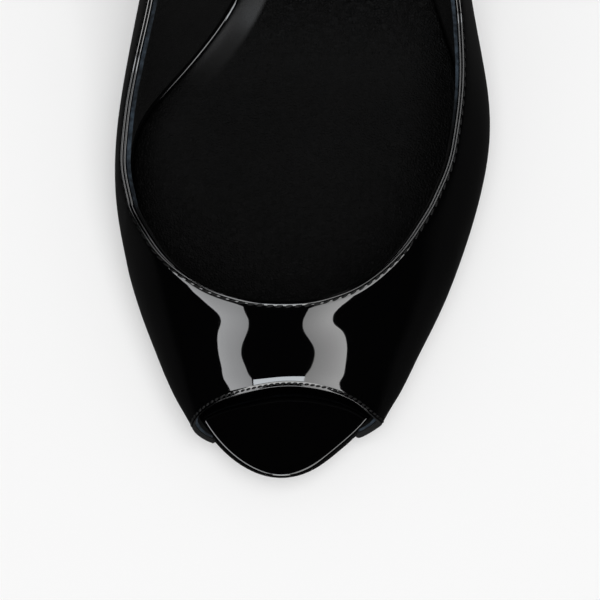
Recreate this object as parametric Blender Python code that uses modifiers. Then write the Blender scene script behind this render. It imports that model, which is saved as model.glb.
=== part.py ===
"""A left heeled sandal in black patent leather, with a peep toe, an open throat and a back strap.

Frame: metres, +Z up. The toe points to -Y, the heel to +Y, the inner (big toe) side lies at -X.
The origin is on the floor, under the middle of the shoe's box.

The shoe is worked out in millimetres on its last: "along" runs from the toe tip to the back of the
heel seat, "across" runs from the inner to the outer side, and "up" starts at the floor.
"""

import math
from collections import namedtuple

import bmesh
import bpy
import numpy as np

MM = 0.001

# Driving dimensions, in millimetres
LAST_LENGTH = 222.0
BALL_WIDTH = 83.2
INSTEP_HEIGHT = 60.0
UPPER_WALL = 2.0
OUTSOLE_THICKNESS = 3.0
INSOLE_THICKNESS = 3.0
TOP_PIECE_HEIGHT = 5.0
PIECE_GAP = 0.3

# Side profile of the tread: flat under the ball, springing up to the toe, climbing the shank to the seat
TREAD_FRONT, TREAD_BACK = 48.0, 80.0
TOE_SLOPE, TOE_RUN = 0.19, 48.0
SHANK_SLOPE, SHANK_RUN = 0.88, 44.0
SEAT_START, SEAT_RUN, SEAT_SLOPE = 144.0, 38.0, 0.36

# Edges of the soles
HEM_OUT = 1.2
HEM_FROM, HEM_TO, HEM_FADE = 4.2, 130.0, 3.0
OUTSOLE_MARGIN = 0.5
TOE_TUCK, TOE_TUCK_RUN = 0.9, 20.0
WAIST_TUCK = 1.6
OUTSOLE_ROUND = 1.0
INSOLE_ROUND = 0.6
INSOLE_ROOM = 0.95
INSOLE_INSET, OUTSOLE_INSET = 0.03, 0.4
EDGE_SHARES = (0.0, 0.3, 0.62, 0.86, 1.0)

# The heel
BREAST_AT = 178.0
BREAST_SQUARE = 0.06
TIP_AT, TIP_ACROSS = 206.0, 7.0
TIP_LENGTH, TIP_WIDTH = 11.0, 10.0
TIP_FRONT = 0.85
HEEL_INSET = 0.4
HEEL_FLARE = 3.4
HEEL_TAPER = 0.10
HEEL_BAND = 3.4

# The back strap
STRAP_LEAN = 1.2

# How finely the solids are faceted
UPPER_COLUMNS, UPPER_ROWS = 124, 9
INSOLE_STATIONS, OUTSOLE_STATIONS = 64, 58
WALL_STEPS = 25
SLOPE_STEP = 0.5
SHARP_ANGLE = 50.0
HEEL_RINGS, HEEL_CORNERS = 16, 34

# One row for each section of the last. along is in percent of LAST_LENGTH. sole and wide give, in percent
# of BALL_WIDTH, where the insole's edge and the widest point of the wall lie across, on the inner (in) and
# outer (out) side. wide_up and ridge_up are heights over the feather, in percent of INSTEP_HEIGHT, and
# ridge is where the last's ridge lies across.
Section = namedtuple(
    "Section",
    "along sole_in sole_out wide_in wide_out wide_up_in wide_up_out ridge ridge_up",
)
SECTIONS = [
    Section(0.0, -5.0, -5.0, -10.5, 0.5, 10.0, 10.0, -5.0, 14.0),
    Section(1.0, -14.6, 4.4, -20.2, 9.8, 10.5, 10.5, -5.0, 17.0),
    Section(3.0, -21.4, 11.5, -25.9, 16.2, 11.0, 11.0, -5.0, 20.0),
    Section(6.0, -27.3, 19.6, -30.4, 22.4, 11.7, 11.7, -4.8, 24.5),
    Section(10.0, -32.0, 25.0, -35.2, 27.9, 12.7, 12.7, -4.6, 30.5),
    Section(16.0, -37.4, 32.0, -41.4, 35.8, 14.5, 14.5, -4.3, 40.0),
    Section(24.0, -42.7, 39.4, -46.8, 43.8, 19.0, 17.5, -3.6, 49.5),
    Section(32.0, -45.4, 43.4, -48.5, 48.8, 25.5, 21.0, -2.4, 57.0),
    Section(36.0, -42.3, 43.7, -47.5, 49.5, 28.5, 22.5, -1.2, 62.0),
    Section(40.0, -33.5, 42.3, -45.6, 48.4, 32.0, 25.0, 0.2, 69.0),
    Section(48.0, -17.2, 35.5, -40.6, 44.2, 41.5, 32.0, 3.2, 87.0),
    Section(56.0, -10.8, 30.6, -35.5, 41.0, 48.5, 39.0, 5.8, 100.0),
    Section(66.0, -11.4, 30.6, -30.2, 38.5, 50.0, 45.0, 7.4, 108.0),
    Section(76.0, -17.4, 34.8, -26.4, 37.6, 50.0, 48.0, 8.0, 116.0),
    Section(86.0, -22.0, 38.6, -24.0, 38.6, 50.0, 50.0, 8.2, 122.0),
    Section(95.0, -17.0, 33.8, -20.0, 36.0, 50.0, 50.0, 8.4, 126.0),
    Section(100.0, 8.4, 8.4, 6.0, 10.8, 50.0, 50.0, 8.4, 128.0),
]

# A section's curve passes a shoulder between ridge and widest point, and a foot between there and the
# feather. Both are shares of the way, and the turns are those of far shoulder, ridge, shoulder, widest,
# foot, feather.
SHOULDER_IN, SHOULDER_OUT = 0.72, 0.69
FOOT_OUT, FOOT_UP = 0.78, 0.27
SECTION_TURNS = (-0.5, 0.0, 0.5, 1.0, 1.66, 2.0)

# One row for each rib of the upper, from the middle of the vamp to the waist. A rib runs over the last from
# the topline to the lower edge. along is in percent of LAST_LENGTH; turn is 0 on the ridge, 1 at the widest
# point and 2 at the feather.
Rib = namedtuple("Rib", "top_along top_turn_in top_turn_out low_along_in low_along_out low_turn")
MIDDLE_RIB = Rib(17.6, 0.0, 0.0, 9.2, 9.2, 0.0)
RIBS = [
    Rib(17.8, 0.15, 0.13, 8.52, 8.88, 0.22),
    Rib(18.4, 0.27, 0.23, 7.46, 7.78, 0.45),
    Rib(19.3, 0.37, 0.315, 6.14, 6.28, 0.72),
    Rib(20.6, 0.47, 0.39, 5.25, 5.55, 1.02),
    Rib(22.4, 0.58, 0.465, 4.2, 4.85, 1.50),
    Rib(24.2, 0.67, 0.52, 3.4, 3.98, 1.84),
    Rib(25.8, 0.75, 0.56, 3.95, 4.55, 2.00),
    Rib(27.9, 0.84, 0.605, 7.4, 8.0, 2.00),
    Rib(30.6, 0.92, 0.65, 12.0, 12.4, 2.00),
    Rib(34.0, 0.95, 0.68, 19.0, 19.2, 2.00),
    Rib(37.8, 0.96, 0.72, 26.5, 26.5, 2.00),
    Rib(41.8, 0.95, 0.78, 34.0, 34.0, 2.00),
    Rib(43.9, 0.94, 0.81, 37.9, 37.9, 2.00),
    Rib(46.0, 0.93, 0.84, 41.5, 41.5, 2.00),
    Rib(48.1, 0.93, 0.855, 44.8, 44.8, 2.00),
    Rib(50.2, 0.93, 0.86, 48.0, 48.0, 2.00),
    Rib(54.2, 0.94, 0.85, 53.4, 53.4, 1.92),
    Rib(58.2, 0.94, 0.855, 58.0, 58.0, 1.60),
    Rib(62.6, 0.92, 0.86, 62.6, 62.6, 1.33),
]
RIB_STEPS = 5

# One row for each hold of the back strap. along is in percent of LAST_LENGTH, across in percent of
# BALL_WIDTH, and up, in percent of INSTEP_HEIGHT, is the top edge's height over the feather. fall is the
# strap's width there, in millimetres.
Hold = namedtuple("Hold", "along across_in across_out up fall")
STRAP_HOLDS = [
    Hold(69.0, -28.6, 37.6, 57.8, 14.6),
    Hold(76.5, -25.0, 36.8, 64.0, 12.8),
    Hold(85.0, -20.6, 35.6, 73.8, 12.0),
    Hold(92.5, -15.4, 32.0, 81.5, 11.2),
    Hold(98.0, -7.6, 24.4, 87.0, 10.5),
    Hold(100.9, 0.0, 16.8, 89.3, 10.0),
]
STRAP_BACK = Hold(101.8, 8.4, 8.4, 90.0, 10.0)

PATENT_BLACK = (0.004, 0.004, 0.005)
LEATHER_BLACK = (0.010, 0.010, 0.011)
RUBBER_BLACK = (0.012, 0.012, 0.012)


def spline(knots, values):
    """A natural cubic spline through values at knots, as a function of one number."""
    t, v = np.asarray(knots, float), np.asarray(values, float)
    step = np.diff(t)
    count = len(t)
    system = np.eye(count)
    right = np.zeros_like(v)
    for i in range(1, count - 1):
        system[i, i - 1 : i + 2] = step[i - 1], 2 * (step[i - 1] + step[i]), step[i]
        right[i] = 6 * ((v[i + 1] - v[i]) / step[i] - (v[i] - v[i - 1]) / step[i - 1])
    bend = np.linalg.solve(system, right.reshape(count, -1)).reshape(v.shape)

    def at(x):
        i = int(np.clip(np.searchsorted(t, x) - 1, 0, count - 2))
        a, b, h = t[i + 1] - x, x - t[i], step[i]
        return (
            (bend[i] * a**3 + bend[i + 1] * b**3) / (6 * h)
            + (v[i] / h - bend[i] * h / 6) * a
            + (v[i + 1] / h - bend[i + 1] * h / 6) * b
        )

    return at


def ring_spline(knots, values, length):
    """A smooth closed spline: the same spline run over three laps, read on the middle one."""
    t, v = np.asarray(knots, float), np.asarray(values, float)
    laps = np.concatenate([t - length, t, t + length])
    return spline(laps, np.concatenate([v, v, v]))


def ease_in(distance, run, slope):
    """Height gained over a distance whose slope grows smoothly from 0 to slope along run."""
    x = distance / run
    if x <= 0:
        return 0.0
    return slope * run * (x**3 - x**4 / 2 if x < 1 else x - 0.5)


def ease(x):
    """Smooth step from 0 to 1."""
    x = min(max(x, 0.0), 1.0)
    return x * x * (3 - 2 * x)


class Last:
    """The form the shoe is built on, read from SECTIONS."""

    def __init__(self):
        rolls = [self.roll(row.along / 100 * LAST_LENGTH) for row in SECTIONS]
        self.columns = {}
        for name in Section._fields[1:]:
            whole = INSTEP_HEIGHT if "_up" in name else BALL_WIDTH
            self.columns[name] = spline(rolls, [getattr(row, name) / 100 * whole for row in SECTIONS])

    @staticmethod
    def roll(along):
        """An angle that grows with along, so that outlines close in round ends."""
        return math.acos(min(max(1 - 2 * along / LAST_LENGTH, -1), 1))

    def column(self, name, along):
        return float(self.columns[name](self.roll(along)))

    @staticmethod
    def tread(along):
        """Height of the sole's underside over the floor."""
        return (
            ease_in(TREAD_FRONT - along, TOE_RUN, TOE_SLOPE)
            + ease_in(along - TREAD_BACK, SHANK_RUN, SHANK_SLOPE)
            - ease_in(along - SEAT_START, SEAT_RUN, SHANK_SLOPE - SEAT_SLOPE)
        )

    def layer(self, along, height):
        """Height over the floor of a layer that lies this far above the tread, square to its slope."""
        rise = self.tread(along + SLOPE_STEP) - self.tread(along - SLOPE_STEP)
        slope = rise / (2 * SLOPE_STEP)
        return self.tread(along) + height * math.hypot(1, slope)

    def feather(self, along):
        """Height of the upper's lower edge, just over the outsole."""
        return self.layer(along, OUTSOLE_THICKNESS + PIECE_GAP)

    def side(self, along, side, turn):
        """(across, up) on the wall's outer face: side is in or out, turn runs from ridge to feather."""
        outward = -1 if side == "in" else 1
        ridge, top = self.column("ridge", along), self.column("ridge_up", along)
        wide, rise = self.column(f"wide_{side}", along), self.column(f"wide_up_{side}", along)
        hem = self.column(f"sole_{side}", along) + outward * HEM_OUT
        shoulder = SHOULDER_IN if side == "in" else SHOULDER_OUT
        points = [
            (ridge - shoulder * (wide - ridge), rise + shoulder * (top - rise)),
            (ridge, top),
            (ridge + shoulder * (wide - ridge), rise + shoulder * (top - rise)),
            (wide, rise),
            (hem + FOOT_OUT * (wide - hem), FOOT_UP * rise),
            (hem, 0.0),
        ]
        across, up = spline(SECTION_TURNS, points)(turn)
        return float(across), float(up)

    def point(self, along, side, turn):
        across, up = self.side(along, side, turn)
        return across, along, self.feather(along) + up


def rib_points(last, rib, side):
    """Points over the last from the topline to the lower edge of one rib."""
    top_turn = rib.top_turn_in if side == "in" else rib.top_turn_out
    low_along = rib.low_along_in if side == "in" else rib.low_along_out
    points = []
    for step in range(RIB_STEPS + 1):
        share = step / RIB_STEPS
        along = (rib.top_along + share * (low_along - rib.top_along)) / 100 * LAST_LENGTH
        points.append(last.point(along, side, top_turn + share * (rib.low_turn - top_turn)))
    return points


def strap_points(last, hold, side):
    """Points down the back strap, from its top edge to its lower edge, at one hold."""
    along = hold.along / 100 * LAST_LENGTH
    across = (hold.across_in if side == "in" else hold.across_out) / 100 * BALL_WIDTH
    outward = -1 if side == "in" else 1
    top = last.feather(along) + hold.up / 100 * INSTEP_HEIGHT
    points = []
    for step in range(RIB_STEPS + 1):
        share = step / RIB_STEPS
        lean = STRAP_LEAN * share
        if hold is STRAP_BACK:
            points.append((across, along + lean, top - share * hold.fall))
        else:
            points.append((across + outward * lean, along, top - share * hold.fall))
    return points


class UpperSurface:
    """The upper's outer face as one ring: from the vamp down the inner side, round the heel and back."""

    def __init__(self, last):
        inner = [rib_points(last, rib, "in") for rib in RIBS]
        inner += [strap_points(last, hold, "in") for hold in STRAP_HOLDS]
        outer = [rib_points(last, rib, "out") for rib in RIBS]
        outer += [strap_points(last, hold, "out") for hold in STRAP_HOLDS]
        ring = [rib_points(last, MIDDLE_RIB, "in"), *inner, strap_points(last, STRAP_BACK, "in")]
        cage = np.array(ring + outer[::-1], float)
        steps = np.linalg.norm(np.roll(cage, -1, axis=0) - cage, axis=2).mean(axis=1)
        knots = np.concatenate([[0.0], np.cumsum(steps)])
        self.length = float(knots[-1])
        self.lines = ring_spline(knots[:-1], cage, self.length)
        self.across = np.linspace(0, 1, RIB_STEPS + 1)

    def column(self, around):
        """The rib at a share of the way round, as a function of the share from topline to lower edge."""
        return spline(self.across, self.lines(around * self.length))


def place(points):
    """Millimetres on the last to metres in the scene."""
    return [(across * MM, along * MM, up * MM) for across, along, up in points]


def finish(name, colour, roughness):
    """A Principled material for one piece."""
    material = bpy.data.materials.new(name)
    material.use_nodes = True
    shader = material.node_tree.nodes["Principled BSDF"]
    shader.inputs["Base Color"].default_value = (*colour, 1)
    shader.inputs["Roughness"].default_value = roughness
    shader.inputs["Metallic"].default_value = 0.0
    return material


def add_object(name, mesh, collection, material, frame):
    """Links a mesh as one named piece under the shoe's frame."""
    mesh.materials.append(material)
    mesh.shade_smooth()
    mesh.set_sharp_from_angle(angle=math.radians(SHARP_ANGLE))
    piece = bpy.data.objects.new(name, mesh)
    piece.parent = frame
    collection.objects.link(piece)
    return piece


def loft(name, rings):
    """A closed mesh through rings of the same number of points, with a cap at each end."""
    shape = bmesh.new()
    loops = [[shape.verts.new(point) for point in place(ring)] for ring in rings]
    for first, second in zip(loops, loops[1:]):
        for i in range(len(first)):
            after = (i + 1) % len(first)
            shape.faces.new((first[i], first[after], second[after], second[i]))
    shape.faces.new(loops[0])
    shape.faces.new(loops[-1])
    bmesh.ops.recalc_face_normals(shape, faces=shape.faces)
    mesh = bpy.data.meshes.new(name)
    shape.to_mesh(mesh)
    shape.free()
    return mesh


def make_upper(last):
    """The upper's outer face, an open ring of faces that Solidify gives its wall."""
    surface = UpperSurface(last)
    shape = bmesh.new()
    columns = []
    for i in range(UPPER_COLUMNS):
        rib = surface.column(i / UPPER_COLUMNS)
        points = [tuple(rib(j / UPPER_ROWS)) for j in range(UPPER_ROWS + 1)]
        columns.append([shape.verts.new(point) for point in place(points)])
    for i, column in enumerate(columns):
        after = columns[(i + 1) % UPPER_COLUMNS]
        for j in range(UPPER_ROWS):
            shape.faces.new((column[j], after[j], after[j + 1], column[j + 1]))
    mesh = bpy.data.meshes.new("upper")
    shape.to_mesh(mesh)
    shape.free()
    return mesh


def stations(start, end, count):
    """Places along the last, closer together towards both of its round ends."""
    rolls = np.linspace(Last.roll(start), Last.roll(end), count + 1)
    return [LAST_LENGTH * (1 - math.cos(roll)) / 2 for roll in rolls]


def slab_ring(last, along, low, high, edge):
    """One section of a sole; edge(side, share) is how far it reaches across at a share of its height."""
    ups = [last.layer(along, low + share * (high - low)) for share in EDGE_SHARES]
    outer = [(edge("out", share), along, up) for share, up in zip(EDGE_SHARES, ups)]
    inner = [(edge("in", share), along, up) for share, up in zip(EDGE_SHARES, ups)]
    return outer + inner[::-1]


def wall_inside(last, along, side, up):
    """How far out the insole may reach at a height over the feather, clear of the upper's inside."""
    outward = -1 if side == "in" else 1
    wall = np.array([last.side(along, side, turn) for turn in np.linspace(1.0, 2.0, WALL_STEPS)])
    run = np.gradient(wall, axis=0)
    run /= np.linalg.norm(run, axis=1)[:, None]
    inward = outward * np.stack([run[:, 1], -run[:, 0]], axis=1)
    ahead, behind = (last.column(f"sole_{side}", along + step) for step in (-SLOPE_STEP, SLOPE_STEP))
    spread = math.hypot(1, (behind - ahead) / (2 * SLOPE_STEP))
    inside = wall + UPPER_WALL * spread * inward
    return float(np.interp(up, inside[::-1, 1], inside[::-1, 0])) - outward * INSOLE_ROOM * spread


def make_insole(last):
    """The insole; where the upper turns under it, its edge follows the inside of the upper's wall."""
    low = OUTSOLE_THICKNESS + PIECE_GAP
    rings = []
    for along in stations(INSOLE_INSET, LAST_LENGTH - INSOLE_INSET, INSOLE_STATIONS):
        walled = ease((along - HEM_FROM) / HEM_FADE) * ease((HEM_TO - along) / HEM_FADE)

        def edge(side, share):
            outward = -1 if side == "in" else 1
            free = outward * last.column(f"sole_{side}", along) - INSOLE_ROUND * (share in (0.0, 1.0))
            if walled == 0:
                return outward * free
            up = last.layer(along, low + share * INSOLE_THICKNESS) - last.feather(along)
            held = min(free, outward * wall_inside(last, along, side, up))
            return outward * (free + walled * (held - free))

        rings.append(slab_ring(last, along, low, low + INSOLE_THICKNESS, edge))
    return loft("insole", rings)


def make_outsole(last):
    """The outsole, from the toe to the heel's breast, trimmed close and tucked in at the waist."""
    rings = []
    for along in stations(OUTSOLE_INSET, BREAST_AT - PIECE_GAP, OUTSOLE_STATIONS):
        waist = ease((along - TREAD_BACK) / SHANK_RUN) * ease((BREAST_AT - along) / SEAT_RUN)
        tuck = TOE_TUCK * (1 - ease(along / TOE_TUCK_RUN)) + (OUTSOLE_MARGIN + WAIST_TUCK) * waist
        margin = OUTSOLE_MARGIN - tuck

        def edge(side, share):
            outward = -1 if side == "in" else 1
            return last.column(f"sole_{side}", along) + outward * (margin - OUTSOLE_ROUND * (share == 0.0))

        rings.append(slab_ring(last, along, 0.0, OUTSOLE_THICKNESS, edge))
    return loft("outsole", rings)


def seat_corner(last, angle):
    """(across, along) on the heel's seat outline: the insole's rear, closed by the breast."""
    back = LAST_LENGTH - HEEL_INSET
    reach = (back - BREAST_AT) / 2
    along = BREAST_AT + reach + reach * math.cos(angle)
    side = "out" if math.sin(angle) >= 0 else "in"
    middle = (last.column("sole_in", along) + last.column("sole_out", along)) / 2
    edge = last.column(f"sole_{side}", along) - (HEEL_INSET if side == "out" else -HEEL_INSET)
    front = max(0.0, -math.cos(angle))
    spread = abs(math.sin(angle)) ** BREAST_SQUARE if front > 0 else 1.0
    across = middle + (edge - middle) * spread
    return across, along


def tip_corner(angle):
    """(across, along) on the outline of the heel's tip."""
    return (
        TIP_ACROSS + TIP_WIDTH / 2 * math.sin(angle),
        TIP_AT + TIP_LENGTH / 2 * math.cos(angle) * (1.0 if math.cos(angle) > 0 else TIP_FRONT),
    )


def make_heel(last):
    """A slim heel, lofted from its tip to the sloping seat; an upright band meets the outsole's end."""
    angles = [2 * math.pi * i / HEEL_CORNERS for i in range(HEEL_CORNERS)]
    foot = TOP_PIECE_HEIGHT + PIECE_GAP
    seats = [seat_corner(last, angle) for angle in angles]
    tops = [last.layer(seat[1], OUTSOLE_THICKNESS) for seat in seats]
    rings = []
    for step in range(HEEL_RINGS + 1):
        height = step / HEEL_RINGS
        spread = HEEL_TAPER * height + (1 - HEEL_TAPER) * height**HEEL_FLARE
        ring = []
        for angle, seat, top in zip(angles, seats, tops):
            across, along = (a + spread * (b - a) for a, b in zip(tip_corner(angle), seat))
            ring.append((across, along, foot + height * (top - HEEL_BAND - foot)))
        rings.append(ring)
    rings.append([(*seat, top) for seat, top in zip(seats, tops)])
    return loft("heel", rings)


def make_top_piece():
    """The wearing piece under the heel's tip."""
    angles = [2 * math.pi * i / HEEL_CORNERS for i in range(HEEL_CORNERS)]
    rings = [[(*tip_corner(angle), up) for angle in angles] for up in (0.0, TOP_PIECE_HEIGHT)]
    return loft("heel_top_piece", rings)


def centre_over_origin(frame, pieces):
    """Moves the frame so that the shoe's box is centred over the origin, with the sole on the floor."""
    bpy.context.view_layer.update()
    graph = bpy.context.evaluated_depsgraph_get()
    corners = np.array(
        [tuple(piece.matrix_world @ vertex.co) for piece in pieces
         for vertex in piece.evaluated_get(graph).data.vertices]
    )
    low, high = corners.min(axis=0), corners.max(axis=0)
    frame.location = (-(low[0] + high[0]) / 2, -(low[1] + high[1]) / 2, -low[2])


def main():
    for leftover in list(bpy.data.objects):
        bpy.data.objects.remove(leftover)
    collection = bpy.data.collections.new("heeled_sandal")
    bpy.context.scene.collection.children.link(collection)
    frame = bpy.data.objects.new("shoe_frame", None)
    collection.objects.link(frame)

    last = Last()
    patent = finish("patent_leather", PATENT_BLACK, 0.08)
    leather = finish("leather", LEATHER_BLACK, 0.55)
    rubber = finish("rubber", RUBBER_BLACK, 0.6)

    upper = add_object("upper", make_upper(last), collection, patent, frame)
    wall = upper.modifiers.new("wall", "SOLIDIFY")
    wall.thickness = UPPER_WALL * MM
    wall.offset = -1.0
    wall.use_even_offset = True
    pieces = [
        upper,
        add_object("insole", make_insole(last), collection, leather, frame),
        add_object("outsole", make_outsole(last), collection, leather, frame),
        add_object("heel", make_heel(last), collection, patent, frame),
        add_object("heel_top_piece", make_top_piece(), collection, rubber, frame),
    ]
    centre_over_origin(frame, pieces)


main()
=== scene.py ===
"""A left heeled sandal in black patent leather, dressed for the studio.

The upper, its lining and stitches, the insole with its toe cover and sock, the outsole, the heel and its
top piece are modelled finely on the last. Sizes are in millimetres on the last: "along" runs from the toe
tip to the back of the heel seat, "across" from the inner to the outer side, "up" from the floor. Pieces are
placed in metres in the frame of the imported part: toe at -Y, inner side at -X, +Z up.
"""

import logging
import math
from dataclasses import dataclass, field
from enum import Enum
from typing import Callable, Optional, Sequence

import bmesh
import bpy
import numpy as np
from mathutils import Matrix, Vector


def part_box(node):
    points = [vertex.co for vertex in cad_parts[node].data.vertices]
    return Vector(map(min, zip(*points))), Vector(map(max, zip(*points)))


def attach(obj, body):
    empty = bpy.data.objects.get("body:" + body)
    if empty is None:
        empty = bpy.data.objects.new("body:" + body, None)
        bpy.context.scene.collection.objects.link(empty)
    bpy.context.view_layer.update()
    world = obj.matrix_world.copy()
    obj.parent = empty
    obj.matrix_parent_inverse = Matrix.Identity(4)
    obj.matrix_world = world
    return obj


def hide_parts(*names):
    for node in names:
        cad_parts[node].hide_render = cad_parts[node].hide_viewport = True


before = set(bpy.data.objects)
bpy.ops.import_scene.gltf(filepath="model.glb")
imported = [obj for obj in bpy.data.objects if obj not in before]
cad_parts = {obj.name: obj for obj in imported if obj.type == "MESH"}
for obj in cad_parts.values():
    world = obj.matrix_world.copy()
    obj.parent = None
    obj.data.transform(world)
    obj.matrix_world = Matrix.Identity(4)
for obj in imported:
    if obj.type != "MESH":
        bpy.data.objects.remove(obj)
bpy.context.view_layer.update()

LOG = logging.getLogger("heeled_sandal")
Array = np.ndarray
Colour = tuple[float, float, float]
Socket = bpy.types.NodeSocket
MM = 0.001
TINY = 1e-7
PHOTO_PIXELS = 600


class Side(Enum):
    """The two sides of the foot."""

    INNER = "in"
    OUTER = "out"

    @property
    def outward(self) -> int:
        """-1 towards the inner side, +1 towards the outer side."""
        return -1 if self is Side.INNER else 1


class Edge(Enum):
    """The two edges of the upper that a seam can follow."""

    TOPLINE = "topline"
    LOWER = "lower"


class RayKind(Enum):
    """Which looks a lamp takes part in."""

    SOFT_ONLY = "soft shading and shadows"
    GLOSS_ONLY = "reflections"


@dataclass(frozen=True)
class Section:
    """One section of the last, in percent of length, ball width and instep height."""

    along: float
    sole_in: float
    sole_out: float
    wide_in: float
    wide_out: float
    wide_up_in: float
    wide_up_out: float
    ridge: float
    ridge_up: float


@dataclass(frozen=True)
class Rib:
    """One rib of the upper: along in percent of length, turn 0 on the ridge, 1 widest, 2 at the feather."""

    top_along: float
    top_turn_in: float
    top_turn_out: float
    low_along_in: float
    low_along_out: float
    low_turn: float


@dataclass(frozen=True)
class Hold:
    """One hold of the back strap, in percent of length, ball width and instep height; fall in mm."""

    along: float
    across_in: float
    across_out: float
    up: float
    fall: float


SECTIONS: tuple[Section, ...] = (
    Section(0.0, -5.0, -5.0, -10.5, 0.5, 10.0, 10.0, -5.0, 14.0),
    Section(1.0, -14.6, 4.4, -20.2, 9.8, 10.5, 10.5, -5.0, 17.0),
    Section(3.0, -21.4, 11.5, -25.9, 16.2, 11.0, 11.0, -5.0, 20.0),
    Section(6.0, -27.3, 19.6, -30.4, 22.4, 11.7, 11.7, -4.8, 24.5),
    Section(10.0, -32.0, 25.0, -35.2, 27.9, 12.7, 12.7, -4.6, 30.5),
    Section(16.0, -37.4, 32.0, -41.4, 35.8, 14.5, 14.5, -4.3, 40.0),
    Section(24.0, -42.7, 39.4, -46.8, 43.8, 19.0, 17.5, -3.6, 49.5),
    Section(32.0, -45.4, 43.4, -48.5, 48.8, 25.5, 21.0, -2.4, 57.0),
    Section(36.0, -42.3, 43.7, -47.5, 49.5, 28.5, 22.5, -1.2, 62.0),
    Section(40.0, -33.5, 42.3, -45.6, 48.4, 32.0, 25.0, 0.2, 69.0),
    Section(48.0, -17.2, 35.5, -40.6, 44.2, 41.5, 32.0, 3.2, 87.0),
    Section(56.0, -10.8, 30.6, -35.5, 41.0, 48.5, 39.0, 5.8, 100.0),
    Section(66.0, -11.4, 30.6, -30.2, 38.5, 50.0, 45.0, 7.4, 108.0),
    Section(76.0, -17.4, 34.8, -26.4, 37.6, 50.0, 48.0, 8.0, 116.0),
    Section(86.0, -22.0, 38.6, -24.0, 38.6, 50.0, 50.0, 8.2, 122.0),
    Section(95.0, -17.0, 33.8, -20.0, 36.0, 50.0, 50.0, 8.4, 126.0),
    Section(100.0, 8.4, 8.4, 6.0, 10.8, 50.0, 50.0, 8.4, 128.0),
)

MIDDLE_RIB = Rib(17.6, 0.0, 0.0, 9.2, 9.2, 0.0)
RIBS: tuple[Rib, ...] = (
    Rib(17.8, 0.15, 0.13, 8.52, 8.88, 0.22),
    Rib(18.4, 0.27, 0.23, 7.46, 7.78, 0.45),
    Rib(19.3, 0.37, 0.315, 6.14, 6.28, 0.72),
    Rib(20.6, 0.47, 0.39, 5.25, 5.55, 1.02),
    Rib(22.4, 0.58, 0.465, 4.2, 4.85, 1.50),
    Rib(24.2, 0.67, 0.52, 3.35, 3.9, 1.98),
    Rib(25.8, 0.75, 0.56, 3.75, 4.35, 2.15),
    Rib(27.9, 0.84, 0.605, 7.4, 8.0, 2.00),
    Rib(30.6, 0.92, 0.65, 12.0, 12.4, 2.00),
    Rib(34.0, 0.95, 0.68, 19.0, 19.2, 2.00),
    Rib(37.8, 0.96, 0.72, 26.5, 26.5, 2.00),
    Rib(41.8, 0.95, 0.78, 34.0, 34.0, 2.00),
    Rib(43.9, 0.94, 0.81, 37.9, 37.9, 2.00),
    Rib(46.0, 0.93, 0.84, 41.5, 41.5, 2.00),
    Rib(48.1, 0.93, 0.855, 44.8, 44.8, 2.00),
    Rib(50.2, 0.93, 0.86, 48.0, 48.0, 2.00),
    Rib(54.2, 0.94, 0.85, 53.4, 53.4, 1.92),
    Rib(58.2, 0.94, 0.855, 58.0, 58.0, 1.60),
    Rib(62.6, 0.92, 0.86, 62.6, 62.6, 1.33),
)
TOE_CORNER_RIB = 5
THROAT_RIBS = {Side.INNER: 6, Side.OUTER: 9}
STRAP_START_RIB = 17

STRAP_HOLDS: tuple[Hold, ...] = (
    Hold(69.0, -28.6, 37.6, 57.8, 14.6),
    Hold(76.5, -25.0, 36.8, 64.0, 12.8),
    Hold(85.0, -20.6, 35.6, 73.8, 12.0),
    Hold(92.5, -15.4, 32.0, 81.5, 11.2),
    Hold(98.0, -7.6, 24.4, 87.0, 10.5),
    Hold(100.9, 0.0, 16.8, 89.3, 10.0),
)
STRAP_BACK = Hold(101.8, 8.4, 8.4, 90.0, 10.0)


class Spline:
    """A natural cubic spline through rows of values."""

    def __init__(self, knots: Sequence[float], values: Sequence) -> None:
        """Solves the bends at the knots.

        Args:
            knots: growing places of the values.
            values: one number or one array for each knot.
        """
        self.knots = np.asarray(knots, float)
        self.values = np.asarray(values, float)
        count = len(self.knots)
        self.steps = np.diff(self.knots)
        system = np.eye(count)
        right = np.zeros_like(self.values)
        for i in range(1, count - 1):
            before, after = self.steps[i - 1], self.steps[i]
            system[i, i - 1 : i + 2] = before, 2 * (before + after), after
            rise = (self.values[i + 1] - self.values[i]) / after
            right[i] = 6 * (rise - (self.values[i] - self.values[i - 1]) / before)
        self.bends = np.linalg.solve(system, right.reshape(count, -1)).reshape(self.values.shape)

    def __call__(self, place: float | Array) -> Array:
        """The spline's value.

        Args:
            place: one place or an array of places.

        Returns:
            One value for each place, of the shape of a knot's value.
        """
        x = np.asarray(place, float)
        i = np.clip(np.searchsorted(self.knots, x) - 1, 0, len(self.knots) - 2)
        spread = x.shape + (1,) * (self.values.ndim - 1)
        a = (self.knots[i + 1] - x).reshape(spread)
        b = (x - self.knots[i]).reshape(spread)
        h = self.steps[i].reshape(spread)
        return (
            (self.bends[i] * a**3 + self.bends[i + 1] * b**3) / (6 * h)
            + (self.values[i] / h - self.bends[i] * h / 6) * a
            + (self.values[i + 1] / h - self.bends[i + 1] * h / 6) * b
        )


def ease(x: float | Array) -> Array:
    """Smooth step from 0 to 1."""
    x = np.clip(x, 0.0, 1.0)
    return x * x * (3 - 2 * x)


def ease_in(distance: float | Array, run: float, slope: float) -> Array:
    """Height gained over a distance whose slope grows smoothly.

    Args:
        distance: distance from where the climb starts.
        run: length over which the slope grows.
        slope: slope at the end of the run and after it.

    Returns:
        The height at each distance.
    """
    x = np.clip(np.asarray(distance, float) / run, 0.0, None)
    return slope * run * np.where(x < 1, x**3 - x**4 / 2, x - 0.5)


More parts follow.
